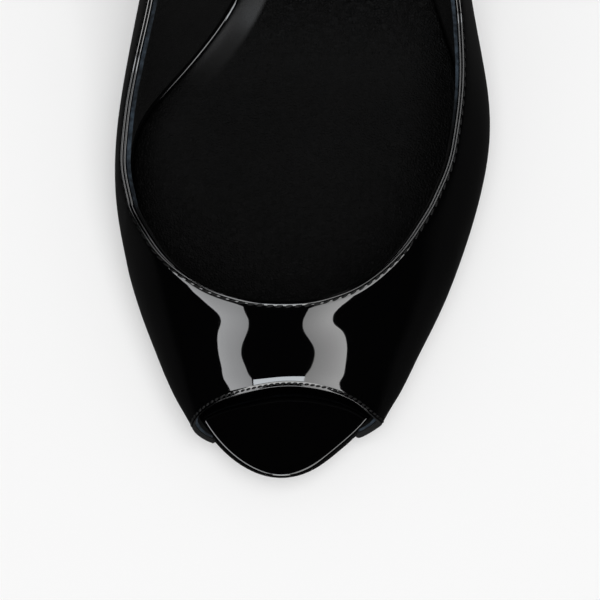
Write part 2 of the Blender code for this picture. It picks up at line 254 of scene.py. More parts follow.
@dataclass
class Last:
    """The form that the shoe is built on, in millimetres."""

    length: float = 222.0
    ball_width: float = 83.2
    instep_height: float = 60.0
    tread_front: float = 48.0
    tread_back: float = 80.0
    toe_slope: float = 0.19
    toe_run: float = 48.0
    shank_slope: float = 0.88
    shank_run: float = 44.0
    seat_start: float = 144.0
    seat_run: float = 38.0
    seat_slope: float = 0.36
    breast_at: float = 178.0
    outsole: float = 3.0
    insole: float = 3.0
    gap: float = 0.3
    hem_out: float = 1.2
    shoulder_in: float = 0.72
    shoulder_out: float = 0.69
    foot_out: float = 0.78
    foot_up: float = 0.27
    section_turns: tuple[float, ...] = (-0.5, 0.0, 0.5, 1.0, 1.66, 2.0)
    slope_step: float = 0.5

    def __post_init__(self) -> None:
        """Runs a spline down each column of the sections."""
        rolls = [float(self.roll(row.along / 100 * self.length)) for row in SECTIONS]
        self.columns: dict[str, Spline] = {}
        for name in Section.__dataclass_fields__:
            whole = self.instep_height if "_up" in name else self.ball_width
            self.columns[name] = Spline(rolls, [getattr(row, name) / 100 * whole for row in SECTIONS])

    def roll(self, along: float | Array) -> Array:
        """An angle that grows with along, so that outlines close in round ends."""
        return np.arccos(np.clip(1 - 2 * np.asarray(along, float) / self.length, -1, 1))

    def column(self, name: str, along: float | Array) -> Array:
        """One column of the sections at a place along the last."""
        return self.columns[name](self.roll(along))

    def tread(self, along: float | Array) -> Array:
        """Height of the sole's underside over the floor.

        Args:
            along: one place along the last or an array of places.

        Returns:
            One height for each place.
        """
        return (
            ease_in(self.tread_front - along, self.toe_run, self.toe_slope)
            + ease_in(along - self.tread_back, self.shank_run, self.shank_slope)
            - ease_in(along - self.seat_start, self.seat_run, self.shank_slope - self.seat_slope)
        )

    def layer(self, along: float | Array, height: float | Array) -> Array:
        """Height over the floor of a layer this far above the tread, square to its slope."""
        rise = self.tread(along + self.slope_step) - self.tread(along - self.slope_step)
        return self.tread(along) + height * np.hypot(1, rise / (2 * self.slope_step))

    def feather(self, along: float | Array) -> Array:
        """Height of the upper's lower edge, just over the outsole."""
        return self.layer(along, self.outsole + self.gap)

    def wall(self, along: float, side: Side) -> Spline:
        """The wall's outer face at one section.

        Args:
            along: place along the last.
            side: side of the foot.

        Returns:
            (across, up over the feather) as a function of the turn: 0 ridge, 1 widest, 2 feather.
        """
        ridge, top = (float(self.column(name, along)) for name in ("ridge", "ridge_up"))
        wide = float(self.column(f"wide_{side.value}", along))
        rise = float(self.column(f"wide_up_{side.value}", along))
        hem = float(self.column(f"sole_{side.value}", along)) + side.outward * self.hem_out
        shoulder = self.shoulder_in if side is Side.INNER else self.shoulder_out
        points = [
            (ridge - shoulder * (wide - ridge), rise + shoulder * (top - rise)),
            (ridge, top),
            (ridge + shoulder * (wide - ridge), rise + shoulder * (top - rise)),
            (wide, rise),
            (hem + self.foot_out * (wide - hem), self.foot_up * rise),
            (hem, 0.0),
        ]
        return Spline(self.section_turns, points)


@dataclass
class Placement:
    """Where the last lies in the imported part's frame."""

    tip_across: float = 7.0
    toe_inset: float = 0.03

    def __post_init__(self) -> None:
        """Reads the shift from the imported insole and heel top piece."""
        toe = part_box("insole")[0].y / MM
        tip_low, tip_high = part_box("heel_top_piece")
        tip = (tip_low.x + tip_high.x) / 2 / MM
        self.shift = np.array([tip - self.tip_across, toe - self.toe_inset, 0.0])

    def world(self, points: Array) -> Array:
        """Millimetres on the last to metres in the frame."""
        return (np.asarray(points, float) + self.shift) * MM


@dataclass
class UpperForm:
    """The upper's outer face as one ring: vamp, inner side, round the heel, back along the outer side."""

    last: Last
    rib_steps: int = 5
    strap_lean: float = 1.2
    normal_step: float = 0.0015
    share_step: float = 0.01
    measure_steps: int = 60

    def __post_init__(self) -> None:
        """Builds the cage of ribs and the splines that run round it."""
        sides = {
            side: [self._rib(rib, side) for rib in RIBS] + [self._hold(hold, side) for hold in STRAP_HOLDS]
            for side in Side
        }
        ring = [self._rib(MIDDLE_RIB, Side.INNER), *sides[Side.INNER], self._hold(STRAP_BACK, Side.INNER)]
        cage = np.array(ring + sides[Side.OUTER][::-1])
        steps = np.linalg.norm(np.roll(cage, -1, axis=0) - cage, axis=2).mean(axis=1)
        knots = np.concatenate([[0.0], np.cumsum(steps)])
        self.length = float(knots[-1])
        self.rib_at = knots[:-1] / self.length
        laps = np.concatenate([knots[:-1] - self.length, knots[:-1], knots[:-1] + self.length])
        self.lines = Spline(laps, np.concatenate([cage, cage, cage]))
        self.shares = np.linspace(0, 1, self.rib_steps + 1)

    def _rib(self, rib: Rib, side: Side) -> Array:
        """Points over the last, from the topline to the lower edge, on one rib.

        Args:
            rib: the rib.
            side: side of the foot.

        Returns:
            (across, along, up) of each point.
        """
        top_turn = rib.top_turn_in if side is Side.INNER else rib.top_turn_out
        low_along = rib.low_along_in if side is Side.INNER else rib.low_along_out
        points = []
        for share in np.linspace(0, 1, self.rib_steps + 1):
            along = (rib.top_along + share * (low_along - rib.top_along)) / 100 * self.last.length
            across, up = self.last.wall(along, side)(top_turn + share * (rib.low_turn - top_turn))
            points.append((across, along, self.last.feather(along) + up))
        return np.array(points)

    def _hold(self, hold: Hold, side: Side) -> Array:
        """Points down the back strap, from its top edge to its lower edge, at one hold.

        Args:
            hold: the hold.
            side: side of the foot.

        Returns:
            (across, along, up) of each point.
        """
        along = hold.along / 100 * self.last.length
        across = (hold.across_in if side is Side.INNER else hold.across_out) / 100 * self.last.ball_width
        top = self.last.feather(along) + hold.up / 100 * self.last.instep_height
        points = []
        for share in np.linspace(0, 1, self.rib_steps + 1):
            lean = self.strap_lean * share
            back, out = (lean, 0.0) if hold is STRAP_BACK else (0.0, side.outward * lean)
            points.append((across + out, along + back, top - share * hold.fall))
        return np.array(points)

    def rib_place(self, index: int, side: Side) -> float:
        """Share of the way round the ring at one of the ribs.

        Args:
            index: the rib's place in the list of ribs.
            side: side of the foot.

        Returns:
            The share, counted from the middle of the vamp down the inner side.
        """
        place = float(self.rib_at[index + 1])
        mirrored = float(self.rib_at[len(self.rib_at) - 1 - index])
        return place if side is Side.INNER else mirrored

    def rib(self, around: float) -> Spline:
        """One rib at a share of the way round, as a function of the share from topline to lower edge."""
        return Spline(self.shares, self.lines(np.array(around * self.length)))

    def measure(self, around: float) -> tuple[Array, Array]:
        """Shares down one rib and their distances from the topline.

        Args:
            around: share of the way round the ring.

        Returns:
            Shares, and distances in millimetres.
        """
        shares = np.linspace(0, 1, self.measure_steps + 1)
        points = self.rib(around)(shares)
        runs = np.linalg.norm(np.diff(points, axis=0), axis=1)
        return shares, np.concatenate([[0.0], np.cumsum(runs)])

    def strip(self, around: float, shares: Array) -> tuple[Array, Array]:
        """Points on one rib and the outward normals there.

        Args:
            around: share of the way round the ring.
            shares: shares from the topline to the lower edge.

        Returns:
            Points and unit normals, one row for each share.
        """
        rib = self.rib(around)
        ahead, behind = self.rib(around + self.normal_step), self.rib(around - self.normal_step)
        run_round = ahead(shares) - behind(shares)
        run_down = rib(shares + self.share_step) - rib(shares - self.share_step)
        normals = np.cross(run_round, run_down)
        return rib(shares), normals / np.linalg.norm(normals, axis=1)[:, None]


def new_mesh(name: str, shape: bmesh.types.BMesh) -> bpy.types.Object:
    """Makes a smooth shaded object of a bmesh and frees it.

    Args:
        name: name of the piece.
        shape: the finished shape, in metres.

    Returns:
        The linked object, which sits at the origin.
    """
    mesh = bpy.data.meshes.new(name)
    shape.to_mesh(mesh)
    shape.free()
    mesh.shade_smooth()
    piece = bpy.data.objects.new(name, mesh)
    bpy.context.scene.collection.objects.link(piece)
    return piece


def warped_grid(
    points: Array, masks: Optional[dict[str, Array]] = None, weld: float = 2e-6
) -> bmesh.types.BMesh:
    """A grid whose vertices are moved to given places, welded where its borders meet.

    Args:
        points: places in metres, shaped (columns, rows, 3).
        masks: named values, shaped (columns, rows), kept on the vertices.
        weld: distance under which vertices become one.

    Returns:
        The welded shape with its faces pointing out.
    """
    columns, rows = points.shape[0] - 1, points.shape[1] - 1
    shape = bmesh.new()
    bmesh.ops.create_grid(shape, x_segments=columns, y_segments=rows, size=1.0)
    layers = {name: shape.verts.layers.float.new(name) for name in masks or {}}
    for vertex in shape.verts:
        column = round((vertex.co.x + 1) / 2 * columns)
        row = round((vertex.co.y + 1) / 2 * rows)
        vertex.co = points[column, row]
        for name, layer in layers.items():
            vertex[layer] = float(masks[name][column, row])
    bmesh.ops.remove_doubles(shape, verts=shape.verts, dist=weld)
    bmesh.ops.dissolve_degenerate(shape, edges=shape.edges, dist=weld)
    bmesh.ops.recalc_face_normals(shape, faces=shape.faces)
    return shape


def closed(points: Array, both: bool) -> Array:
    """Repeats the first column, and the first row if both are rings, at the end."""
    points = np.concatenate([points, points[:1]], axis=0)
    return np.concatenate([points, points[:, :1]], axis=1) if both else points


def close_holes(shape: bmesh.types.BMesh) -> None:
    """Fills a shape's open rims and points its faces out.

    Args:
        shape: the shape to close.
    """
    rims = [edge for edge in shape.edges if edge.is_boundary]
    bmesh.ops.holes_fill(shape, edges=rims, sides=0)
    bmesh.ops.recalc_face_normals(shape, faces=shape.faces)


def arithmetic(
    tree: bpy.types.NodeTree, kind: str, first: Socket, second: Socket | float, clamp: bool = False
) -> Socket:
    """Adds one arithmetic step to a node tree.

    Args:
        tree: the tree.
        kind: the operation.
        first: its first value.
        second: its second value, from a socket or plain.
        clamp: whether the result is kept within 0 and 1.

    Returns:
        The result.
    """
    node = tree.nodes.new("ShaderNodeMath")
    node.operation = kind
    node.use_clamp = clamp
    tree.links.new(first, node.inputs[0])
    if isinstance(second, (int, float)):
        node.inputs[1].default_value = second
    else:
        tree.links.new(second, node.inputs[1])
    return node.outputs[0]


def map_range(tree: bpy.types.NodeTree, value: Socket, **ends: float) -> Socket:
    """Adds a step that spreads a value over a new range.

    Args:
        tree: the tree.
        value: the value.
        ends: the ends of the ranges, by the step's own names with underscores.

    Returns:
        The result.
    """
    node = tree.nodes.new("ShaderNodeMapRange")
    for name, end in ends.items():
        node.inputs[name.replace("_", " ")].default_value = end
    tree.links.new(value, node.inputs["Value"])
    return node.outputs["Result"]


@dataclass(frozen=True)
class Finish:
    """What every finish holds: its name and its colour."""

    name: str
    colour: Colour

    def tree(self) -> "ShaderTree":
        """Starts a new material with a Principled shader of this colour.

        Returns:
            The material's nodes.
        """
        tree = ShaderTree(bpy.data.materials.new(self.name))
        tree.shader.inputs["Base Color"].default_value = (*self.colour, 1.0)
        return tree


class ShaderTree:
    """Adds nodes to one material and wires them."""

    def __init__(self, material: bpy.types.Material) -> None:
        """Starts from the material's own Principled shader.

        Args:
            material: the material.
        """
        material.use_nodes = True
        self.material = material
        self.nodes = material.node_tree.nodes
        self.links = material.node_tree.links
        self.shader = self.nodes["Principled BSDF"]
        self.place = self.nodes.new("ShaderNodeTexCoord").outputs["Object"]

    def set(self, **values: float) -> None:
        """Sets plain numbers on the shader's own sockets, by their names with underscores."""
        for name, value in values.items():
            self.shader.inputs[name.replace("_", " ")].default_value = value

    def group(self, tree: bpy.types.NodeTree, **values: float) -> bpy.types.Node:
        """Places a node group and sets its inputs.

        Args:
            tree: the group.
            values: input values, by their names with underscores.

        Returns:
            The group's node, reading the object's coordinates.
        """
        node = self.nodes.new("ShaderNodeGroup")
        node.node_tree = tree
        self.links.new(self.place, node.inputs["Vector"])
        for name, value in values.items():
            node.inputs[name.replace("_", " ")].default_value = value
        return node

    def cloud(self, effects: "Effects", cloud: "Cloud") -> Socket:
        """A mask of uneven dulling from handling."""
        return self.group(effects.handling, Scale=cloud.scale, Amount=cloud.amount).outputs["Mask"]

    def ramp(self, mask: Socket, low: float, high: float) -> Socket:
        """Spreads a mask from 0..1 over a range of values."""
        return map_range(self.material.node_tree, mask, To_Min=low, To_Max=high)

    def attribute(self, name: str) -> Socket:
        """Reads a value that is kept on the piece's vertices.

        Args:
            name: name of the value.

        Returns:
            The value, 0 on a piece that has none.
        """
        node = self.nodes.new("ShaderNodeAttribute")
        node.attribute_name = name
        return node.outputs["Fac"]

    def math(self, kind: str, first: Socket, second: Socket) -> Socket:
        """One arithmetic step on two values, kept within 0 and 1."""
        return arithmetic(self.material.node_tree, kind, first, second, clamp=True)

    def mix(self, mask: Socket, second: Colour) -> None:
        """Blends the shader's colour by a mask towards a second colour.

        Args:
            mask: 0 for the colour so far, 1 for the second.
            second: the second colour.
        """
        node = self.nodes.new("ShaderNodeMix")
        node.data_type = "RGBA"
        base = self.shader.inputs["Base Color"]
        colours = [socket for socket in node.inputs if socket.type == "RGBA"]
        colours[0].default_value = base.default_value
        if base.is_linked:
            self.links.new(base.links[0].from_socket, colours[0])
        colours[1].default_value = (*second, 1.0)
        self.links.new(mask, node.inputs["Factor"])
        result = [socket for socket in node.outputs if socket.type == "RGBA"][0]
        self.links.new(result, base)

    def bump(self, height: Socket, depth: float, strength: float = 1.0) -> None:
        """Raises the surface by a height map.

        Args:
            height: the height map.
            depth: its depth in metres.
            strength: how much of it shows.
        """
        node = self.nodes.new("ShaderNodeBump")
        node.inputs["Distance"].default_value = depth
        node.inputs["Strength"].default_value = strength
        self.links.new(height, node.inputs["Height"])
        self.links.new(node.outputs["Normal"], self.shader.inputs["Normal"])


@dataclass(frozen=True)
class Cloud:
    """How close and how strong the patches of a cloudy mask are."""

    scale: float
    amount: float


@dataclass
class Effects:
    """Surface effects that several finishes share, each built once as a node group."""

    close_waves: float = 4.0
    swirl_scale: float = 700.0
    swirl_reach: float = 0.0006
    pebble_steepness: float = 3.0
    crease_scale: float = 260.0
    crease_detail: float = 4.0
    cloud_detail: float = 5.0
    cloud_contrast: float = 2.0

    def __post_init__(self) -> None:
        """Builds the groups."""
        self.waves = self._waves()
        self.grain = self._grain()
        self.handling = self._handling()

    @staticmethod
    def _start(
        name: str, inputs: dict[str, float], outputs: Sequence[str]
    ) -> tuple[bpy.types.NodeTree, dict[str, Socket], dict[str, Socket]]:
        """A group with a vector input, named numbers in and named numbers out.

        Args:
            name: name of the group.
            inputs: named inputs and their usual values.
            outputs: names of the outputs.

        Returns:
            The group's tree, its input sockets and its output sockets by name.
        """
        tree = bpy.data.node_groups.new(name, "ShaderNodeTree")
        tree.interface.new_socket("Vector", in_out="INPUT", socket_type="NodeSocketVector")
        for label, value in inputs.items():
            socket = tree.interface.new_socket(label, in_out="INPUT", socket_type="NodeSocketFloat")
            socket.default_value = value
        for label in outputs:
            tree.interface.new_socket(label, in_out="OUTPUT", socket_type="NodeSocketFloat")
        entry = tree.nodes.new("NodeGroupInput")
        leave = tree.nodes.new("NodeGroupOutput")
        given = {socket.name: socket for socket in entry.outputs}
        wanted = {socket.name: socket for socket in leave.inputs}
        return tree, given, wanted

    @staticmethod
    def _noise(tree: bpy.types.NodeTree, vector: Socket, scale: Socket | float, detail: float) -> Socket:
        """A noise pattern.

        Args:
            tree: the group's tree.
            vector: where the pattern is read.
            scale: how close it is, from a socket or plain.
            detail: how many finer layers it has.

        Returns:
            The pattern, from 0 to 1.
        """
        node = tree.nodes.new("ShaderNodeTexNoise")
        node.inputs["Detail"].default_value = detail
        if isinstance(scale, (int, float)):
            node.inputs["Scale"].default_value = scale
        else:
            tree.links.new(scale, node.inputs["Scale"])
        tree.links.new(vector, node.inputs["Vector"])
        return node.outputs["Fac"]

    def _waves(self) -> bpy.types.NodeTree:
        """Soft unevenness of stretched, lacquered leather.

        Returns:
            The group.
        """
        tree, given, wanted = self._start("soft_waves", {"Scale": 45.0, "Fine": 0.2}, ["Height"])
        broad = self._noise(tree, given["Vector"], given["Scale"], 0.0)
        closer = arithmetic(tree, "MULTIPLY", given["Scale"], self.close_waves)
        close = self._noise(tree, given["Vector"], closer, 1.0)
        small = arithmetic(tree, "MULTIPLY", close, given["Fine"])
        tree.links.new(arithmetic(tree, "ADD", broad, small), wanted["Height"])
        return tree

    def _grain(self) -> bpy.types.NodeTree:
        """Pores and pebbles of leather.

        Returns:
            The group.
        """
        inputs = {"Scale": 1500.0, "Crease": 0.5}
        tree, given, wanted = self._start("leather_grain", inputs, ["Height", "Mask"])
        cells = tree.nodes.new("ShaderNodeTexVoronoi")
        cells.feature = "DISTANCE_TO_EDGE"
        tree.links.new(given["Scale"], cells.inputs["Scale"])
        warp = tree.nodes.new("ShaderNodeVectorMath")
        warp.operation = "MULTIPLY_ADD"
        swirl = tree.nodes.new("ShaderNodeTexNoise")
        swirl.inputs["Scale"].default_value = self.swirl_scale
        tree.links.new(given["Vector"], swirl.inputs["Vector"])
        tree.links.new(swirl.outputs["Color"], warp.inputs[0])
        warp.inputs[1].default_value = (self.swirl_reach,) * 3
        tree.links.new(given["Vector"], warp.inputs[2])
        tree.links.new(warp.outputs["Vector"], cells.inputs["Vector"])
        steep = arithmetic(tree, "MULTIPLY", cells.outputs["Distance"], self.pebble_steepness)
        pebble = arithmetic(tree, "MINIMUM", steep, 1.0)
        crease = self._noise(tree, given["Vector"], self.crease_scale, self.crease_detail)
        creased = arithmetic(tree, "MULTIPLY", crease, given["Crease"])
        tree.links.new(arithmetic(tree, "ADD", pebble, creased), wanted["Height"])
        tree.links.new(crease, wanted["Mask"])
        return tree

    def _handling(self) -> bpy.types.NodeTree:
        """Faint uneven dulling from handling and dust.

        Returns:
            The group.
        """
        tree, given, wanted = self._start("handling", {"Scale": 60.0, "Amount": 1.0}, ["Mask"])
        cloud = self._noise(tree, given["Vector"], given["Scale"], self.cloud_detail)
        raised = arithmetic(tree, "POWER", cloud, self.cloud_contrast)
        tree.links.new(arithmetic(tree, "MULTIPLY", raised, given["Amount"]), wanted["Mask"])
        return tree


@dataclass(frozen=True)
class PatentFinish(Finish):
    """Lacquered leather with a mirror gloss."""

    roughness: float = 0.03
    dulled: float = 0.04
    under_roughness: float = 0.95
    coat_roughness: float = 0.02
    index: float = 1.5
    handled: Cloud = Cloud(35.0, 0.5)
    wave_scale: float = 45.0
    wave_fine: float = 0.15
    wave_depth: float = 0.00004
    mask: str = "under_edge"

    def material(self, effects: Effects) -> bpy.types.Material:
        """Builds the material.

        Args:
            effects: the shared node groups.

        Returns:
            The material.
        """
        tree = self.tree()
        tree.set(IOR=self.index, Coat_Roughness=self.coat_roughness, Coat_IOR=self.index)
        handled = tree.cloud(effects, self.handled)
        rough = tree.ramp(handled, self.roughness, self.roughness + self.dulled)
        under = tree.attribute(self.mask)
        total = tree.math("ADD", rough, tree.ramp(under, 0.0, self.under_roughness))
        tree.links.new(total, tree.shader.inputs["Roughness"])
        tree.links.new(tree.ramp(under, 1.0, 0.0), tree.shader.inputs["Coat Weight"])
        waves = tree.group(effects.waves, Scale=self.wave_scale, Fine=self.wave_fine)
        tree.bump(waves.outputs["Height"], self.wave_depth)
        return tree.material


@dataclass(frozen=True)
class GrainFinish(Finish):
    """Matt leather with a fine grain."""

    worn: Colour = (0.012, 0.012, 0.012)
    roughness: float = 0.5
    smoother: float = 0.06
    rougher: float = 0.1
    pore_scale: float = 1500.0
    crease: float = 0.6
    depth: float = 0.00008
    specular: float = 0.4
    handled: Cloud = Cloud(45.0, 1.2)
    rubbed_coat: float = 0.0
    rubbed_roughness: float = 0.3
    rubbed_mask: str = "rubbed"

    def material(self, effects: Effects) -> bpy.types.Material:
        """Builds the material.

        Args:
            effects: the shared node groups.

        Returns:
            The material.
        """
        tree = self.tree()
        tree.set(Specular_IOR_Level=self.specular)
        grain = tree.group(effects.grain, Scale=self.pore_scale, Crease=self.crease)
        handled = tree.cloud(effects, self.handled)
        tree.mix(tree.math("MULTIPLY", handled, grain.outputs["Height"]), self.worn)
        ends = self.roughness - self.smoother, self.roughness + self.rougher
        rough = tree.ramp(grain.outputs["Mask"], *ends)
        tree.links.new(rough, tree.shader.inputs["Roughness"])
        tree.bump(grain.outputs["Height"], self.depth)
        if self.rubbed_coat:
            tree.set(Coat_Roughness=self.rubbed_roughness)
            rubbed = tree.ramp(tree.attribute(self.rubbed_mask), 0.0, self.rubbed_coat)
            tree.links.new(rubbed, tree.shader.inputs["Coat Weight"])
        return tree.material


@dataclass(frozen=True)
class LiningFinish(Finish):
    """Napped lining leather with a paler cut edge."""

    nap: Colour = (0.0024, 0.0024, 0.0024)
    cut: Colour = (0.036, 0.050, 0.066)
    specular: float = 0.08
    sheen: float = 0.02
    smooth: float = 0.7
    rough: float = 0.95
    pore_scale: float = 2600.0
    crease: float = 1.4
    depth: float = 0.00010
    handled: Cloud = Cloud(160.0, 1.6)
    fibres: Cloud = Cloud(900.0, 2.4)
    trimmed: Cloud = Cloud(110.0, 3.2)
    mask: str = "cut_edge_throat_shade"

    def material(self, effects: Effects) -> bpy.types.Material:
        """Builds the material.

        Args:
            effects: the shared node groups.

        Returns:
            The material.
        """
        tree = self.tree()
        tree.set(Specular_IOR_Level=self.specular, Sheen_Weight=self.sheen)
        tree.mix(tree.cloud(effects, self.handled), self.nap)
        fibres, trimmed = tree.cloud(effects, self.fibres), tree.cloud(effects, self.trimmed)
        ragged = tree.math("MULTIPLY", fibres, trimmed)
        # The pale cut edge colour, made ragged, is masked by the cut edge; the mask also fades it out
        # towards the throat as painted shade.
        tree.mix(tree.math("MULTIPLY", tree.attribute(self.mask), ragged), self.cut)
        grain = tree.group(effects.grain, Scale=self.pore_scale, Crease=self.crease)
        rough = tree.ramp(grain.outputs["Mask"], self.smooth, self.rough)
        tree.links.new(rough, tree.shader.inputs["Roughness"])
        tree.bump(grain.outputs["Height"], self.depth)
        return tree.material


@dataclass(frozen=True)
class FloorFinish(Finish):
    """Plain pale studio floor, a light table that is lit a little from below."""

    shade: Colour = (0.55, 0.55, 0.55)
    roughness: float = 0.9
    glow: float = 0.30
    handled: Cloud = Cloud(3.0, 0.3)

    def material(self, effects: Effects) -> bpy.types.Material:
        """Builds the material.

        Args:
            effects: the shared node groups.

        Returns:
            The material.
        """
        tree = self.tree()
        tree.set(Roughness=self.roughness, Specular_IOR_Level=0.0, Emission_Strength=self.glow)
        tree.mix(tree.cloud(effects, self.handled), self.shade)
        return tree.material


@dataclass
class Palette:
    """The finishes of this shoe."""

    effects: Effects = field(default_factory=Effects)

    def __post_init__(self) -> None:
        """Builds each material once."""
        lacquer = (0.0006, 0.0006, 0.0007)
        self.patent = PatentFinish("black_patent", lacquer).material(self.effects)
        self.heel_patent = PatentFinish("heel_patent", lacquer, wave_depth=0.00002).material(self.effects)
        self.sock = GrainFinish(
            "sock_leather", (0.0004, 0.0004, 0.0004), (0.0020, 0.0020, 0.0020),
            roughness=0.40, specular=0.05, rubbed_coat=0.3,
        ).material(self.effects)
        self.lining = LiningFinish("lining_leather", (0.0016, 0.0016, 0.0016)).material(self.effects)
        self.thread = GrainFinish(
            "black_thread", (0.002, 0.002, 0.002), (0.005, 0.005, 0.005),
            roughness=0.45, pore_scale=6000.0, depth=0.00003, specular=0.25,
        ).material(self.effects)
        self.outsole = GrainFinish(
            "sole_leather", (0.010, 0.010, 0.010), (0.022, 0.021, 0.020),
            roughness=0.42, pore_scale=900.0, depth=0.00004, specular=0.5,
        ).material(self.effects)
        self.rubber = GrainFinish(
            "top_piece_rubber", (0.012, 0.012, 0.012), (0.024, 0.024, 0.024),
            roughness=0.62, pore_scale=2200.0, depth=0.00005, specular=0.35,
        ).material(self.effects)
        self.floor = FloorFinish("pale_floor", (0.59, 0.59, 0.59)).material(self.effects)


def dress(piece: bpy.types.Object, material: bpy.types.Material) -> bpy.types.Object:
    """Gives a piece its material and lets it ride on the shoe.

    Args:
        piece: the finished piece.
        material: its material.

    Returns:
        The piece.
    """
    piece.data.materials.clear()
    piece.data.materials.append(material)
    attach(piece, "root")
    LOG.info("%s: %d faces", piece.name, len(piece.data.polygons))
    return piece


@dataclass(frozen=True)
class Pull:
    """How the vamp's leather is pulled: a share down the vamp, and how much more it bends across there."""

    share: float
    inner: float
    outer: float


@dataclass(frozen=True)
class Stitch:
    """One kind of stitch: its length, width and height, and the distance from stitch to stitch."""

    length: float
    width: float
    height: float
    pitch: float


@dataclass
class Upper:
    """Patent shell, lining and seams of the upper."""

    form: UpperForm
    placement: Placement
    palette: Palette
    columns: int = 640
    middle_rows: int = 34
    band_rows: int = 10
    band_crowding: float = 1.6
    fold_half: float = 0.72
    fold_crown: float = 0.28
    low_fold_half: float = 0.60
    low_fold_crown: float = 0.32
    corner_fold_half: float = 0.88
    corner_start: tuple[float, float] = (0.55, 0.95)
    corner_end: tuple[float, float] = (1.05, 1.35)
    roll_points: int = 9
    fold_points: int = 9
    leather: float = 0.9
    fold_run: float = 7.0
    edge_band: float = 2.6
    gloss_from: float = -1.0
    gloss_fade: float = 0.4
    crease_angle: float = math.radians(75)
    seam_in: float = 0.85
    seam_low: float = 0.85
    notch: float = 0.20
    low_notch: float = 0.12
    notch_end: tuple[float, float] = (0.92, 1.08)
    notch_rise: float = 0.18
    dip: float = 0.20
    dip_run: float = 3.2
    low_dip_slope: float = 0.20
    low_dip_run: float = 2.3
    lining_drop: float = 0.55
    lining_thick: float = 0.95
    low_lining_thick: float = 0.70
    lining_run: float = 12.0
    lining_gap: float = 0.03
    lining_bevel: float = 0.12
    edge_stitch: Stitch = Stitch(1.95, 0.60, 0.52, 2.1)
    toe_stitch: Stitch = Stitch(1.15, 0.56, 0.46, 1.3)
    stitch_slant: float = math.radians(14)
    stitch_hold: float = 0.4
    stitch_rise: float = 0.12
    stitch_turns: int = 10
    stitch_rings: int = 6
    seam_step: float = 0.5
    vamp_curve: float = 1 / 62.0
    vamp_reach: float = 21.0
    vamp_full: float = 0.4
    face_from: float = -0.6
    face_fade: float = 0.4
    pulls: tuple[Pull, ...] = (
        Pull(0.00, 0.59, 0.22),
        Pull(0.08, 0.22, 0.29),
        Pull(0.15, 0.10, 0.35),
        Pull(0.22, 0.10, 0.38),
        Pull(0.30, 0.09, 0.35),
        Pull(0.40, -0.04, 0.08),
        Pull(0.50, -0.16, -0.19),
        Pull(0.60, -0.15, -0.26),
        Pull(0.70, -0.03, -0.21),
        Pull(0.80, 0.11, -0.06),
        Pull(0.90, 0.40, 0.18),
        Pull(1.00, 0.50, 0.01),
    )

    def __post_init__(self) -> None:
        """Runs a spline down each side's pulls."""
        places = [pull.share for pull in self.pulls]
        self.pull_at = {
            Side.INNER: Spline(places, [pull.inner for pull in self.pulls]),
            Side.OUTER: Spline(places, [pull.outer for pull in self.pulls]),
        }

    def _band(self) -> Array:
        """Distances from an edge at which the band beside it gets rows."""
        fine = np.linspace(0.0, 1.0, self.band_rows + 1)[1:] ** self.band_crowding
        return self.fold_crown + fine * (self.edge_band - self.fold_crown)

    def _low_half(self, around: float) -> float:
        """Half the thickness of the lower edge's fold, fuller at the toe opening's corners."""
        corner = (1 - self._toe(around, self.corner_start)) * self._toe(around, self.corner_end)
        return self.low_fold_half + (self.corner_fold_half - self.low_fold_half) * corner

    def _inside(self, around: float, distance: Array, total: float) -> Array:
        """Depth of the shell's inner face.

        Args:
            around: share of the way round the ring.
            distance: distances from the topline.
            total: length of the rib.

        Returns:
            Heights over the form's face.
        """
        top = (2 * self.fold_half - self.leather) * (1 - ease(distance / self.fold_run))
        low = (2 * self._low_half(around) - self.leather) * (1 - ease((total - distance) / self.fold_run))
        return -(self.leather + top + low)

    def _outside(self, around: float, distance: Array, total: float) -> Array:
        """Height of the shell's outer face, notched by the seams, with a round bead at each edge.

        Args:
            around: share of the way round the ring.
            distance: distances from the topline.
            total: length of the rib.

        Returns:
            Heights over the form's face.
        """
        top = self._notch(distance, self.fold_crown, self.seam_in)
        low = self._notch(total - distance, self.low_fold_crown, self.seam_low)
        return -self.notch * top - self.low_notch * low * self._toe(around, self.notch_end)

    def _notch(self, distance: Array, crown: float, seam: float) -> Array:
        """Share of a seam's notch beside an edge.

        Args:
            distance: distances from the edge.
            crown: distance at which the edge's bead is highest.
            seam: distance at which the notch is deepest.

        Returns:
            Shares of the notch's depth.
        """
        bead = np.clip((distance - crown) / (seam - crown), 0.0, 1.0) ** 2
        rise = np.exp(-((np.clip(distance - seam, 0.0, None) / self.notch_rise) ** 2))
        return bead * rise

    def _dip(self, around: float, distance: Array, total: float) -> Array:
        """How far the leather and its lining are drawn in towards the seams.

        Args:
            around: share of the way round the ring.
            distance: distances from the topline.
            total: length of the rib.

        Returns:
            Heights over the form.
        """
        top = np.clip((distance - self.seam_in) / self.dip_run, 0.0, 1.0)
        low = np.clip((total - distance - self.seam_low) / self.low_dip_run, 0.0, 1.0)
        low_depth = self.low_dip_slope * self.low_dip_run * (2 / 3 - low + low**3 / 3)
        return -self.dip * (1 - top) ** 2 - low_depth * self._toe(around, self.corner_start)

    def _toe(self, around: float, fade: tuple[float, float]) -> float:
        """Tells the toe opening from the rest of the lower edge.

        Args:
            around: share of the way round the ring.
            fade: the two shares of the way to the opening's corners between which it fades.

        Returns:
            1 along the opening, 0 past it.
        """
        inner = self.form.rib_place(TOE_CORNER_RIB, Side.INNER)
        outer = 1 - self.form.rib_place(TOE_CORNER_RIB, Side.OUTER)
        past = around / inner if around < 0.5 else (1 - around) / outer
        return float(1 - ease((past - fade[0]) / (fade[1] - fade[0])))

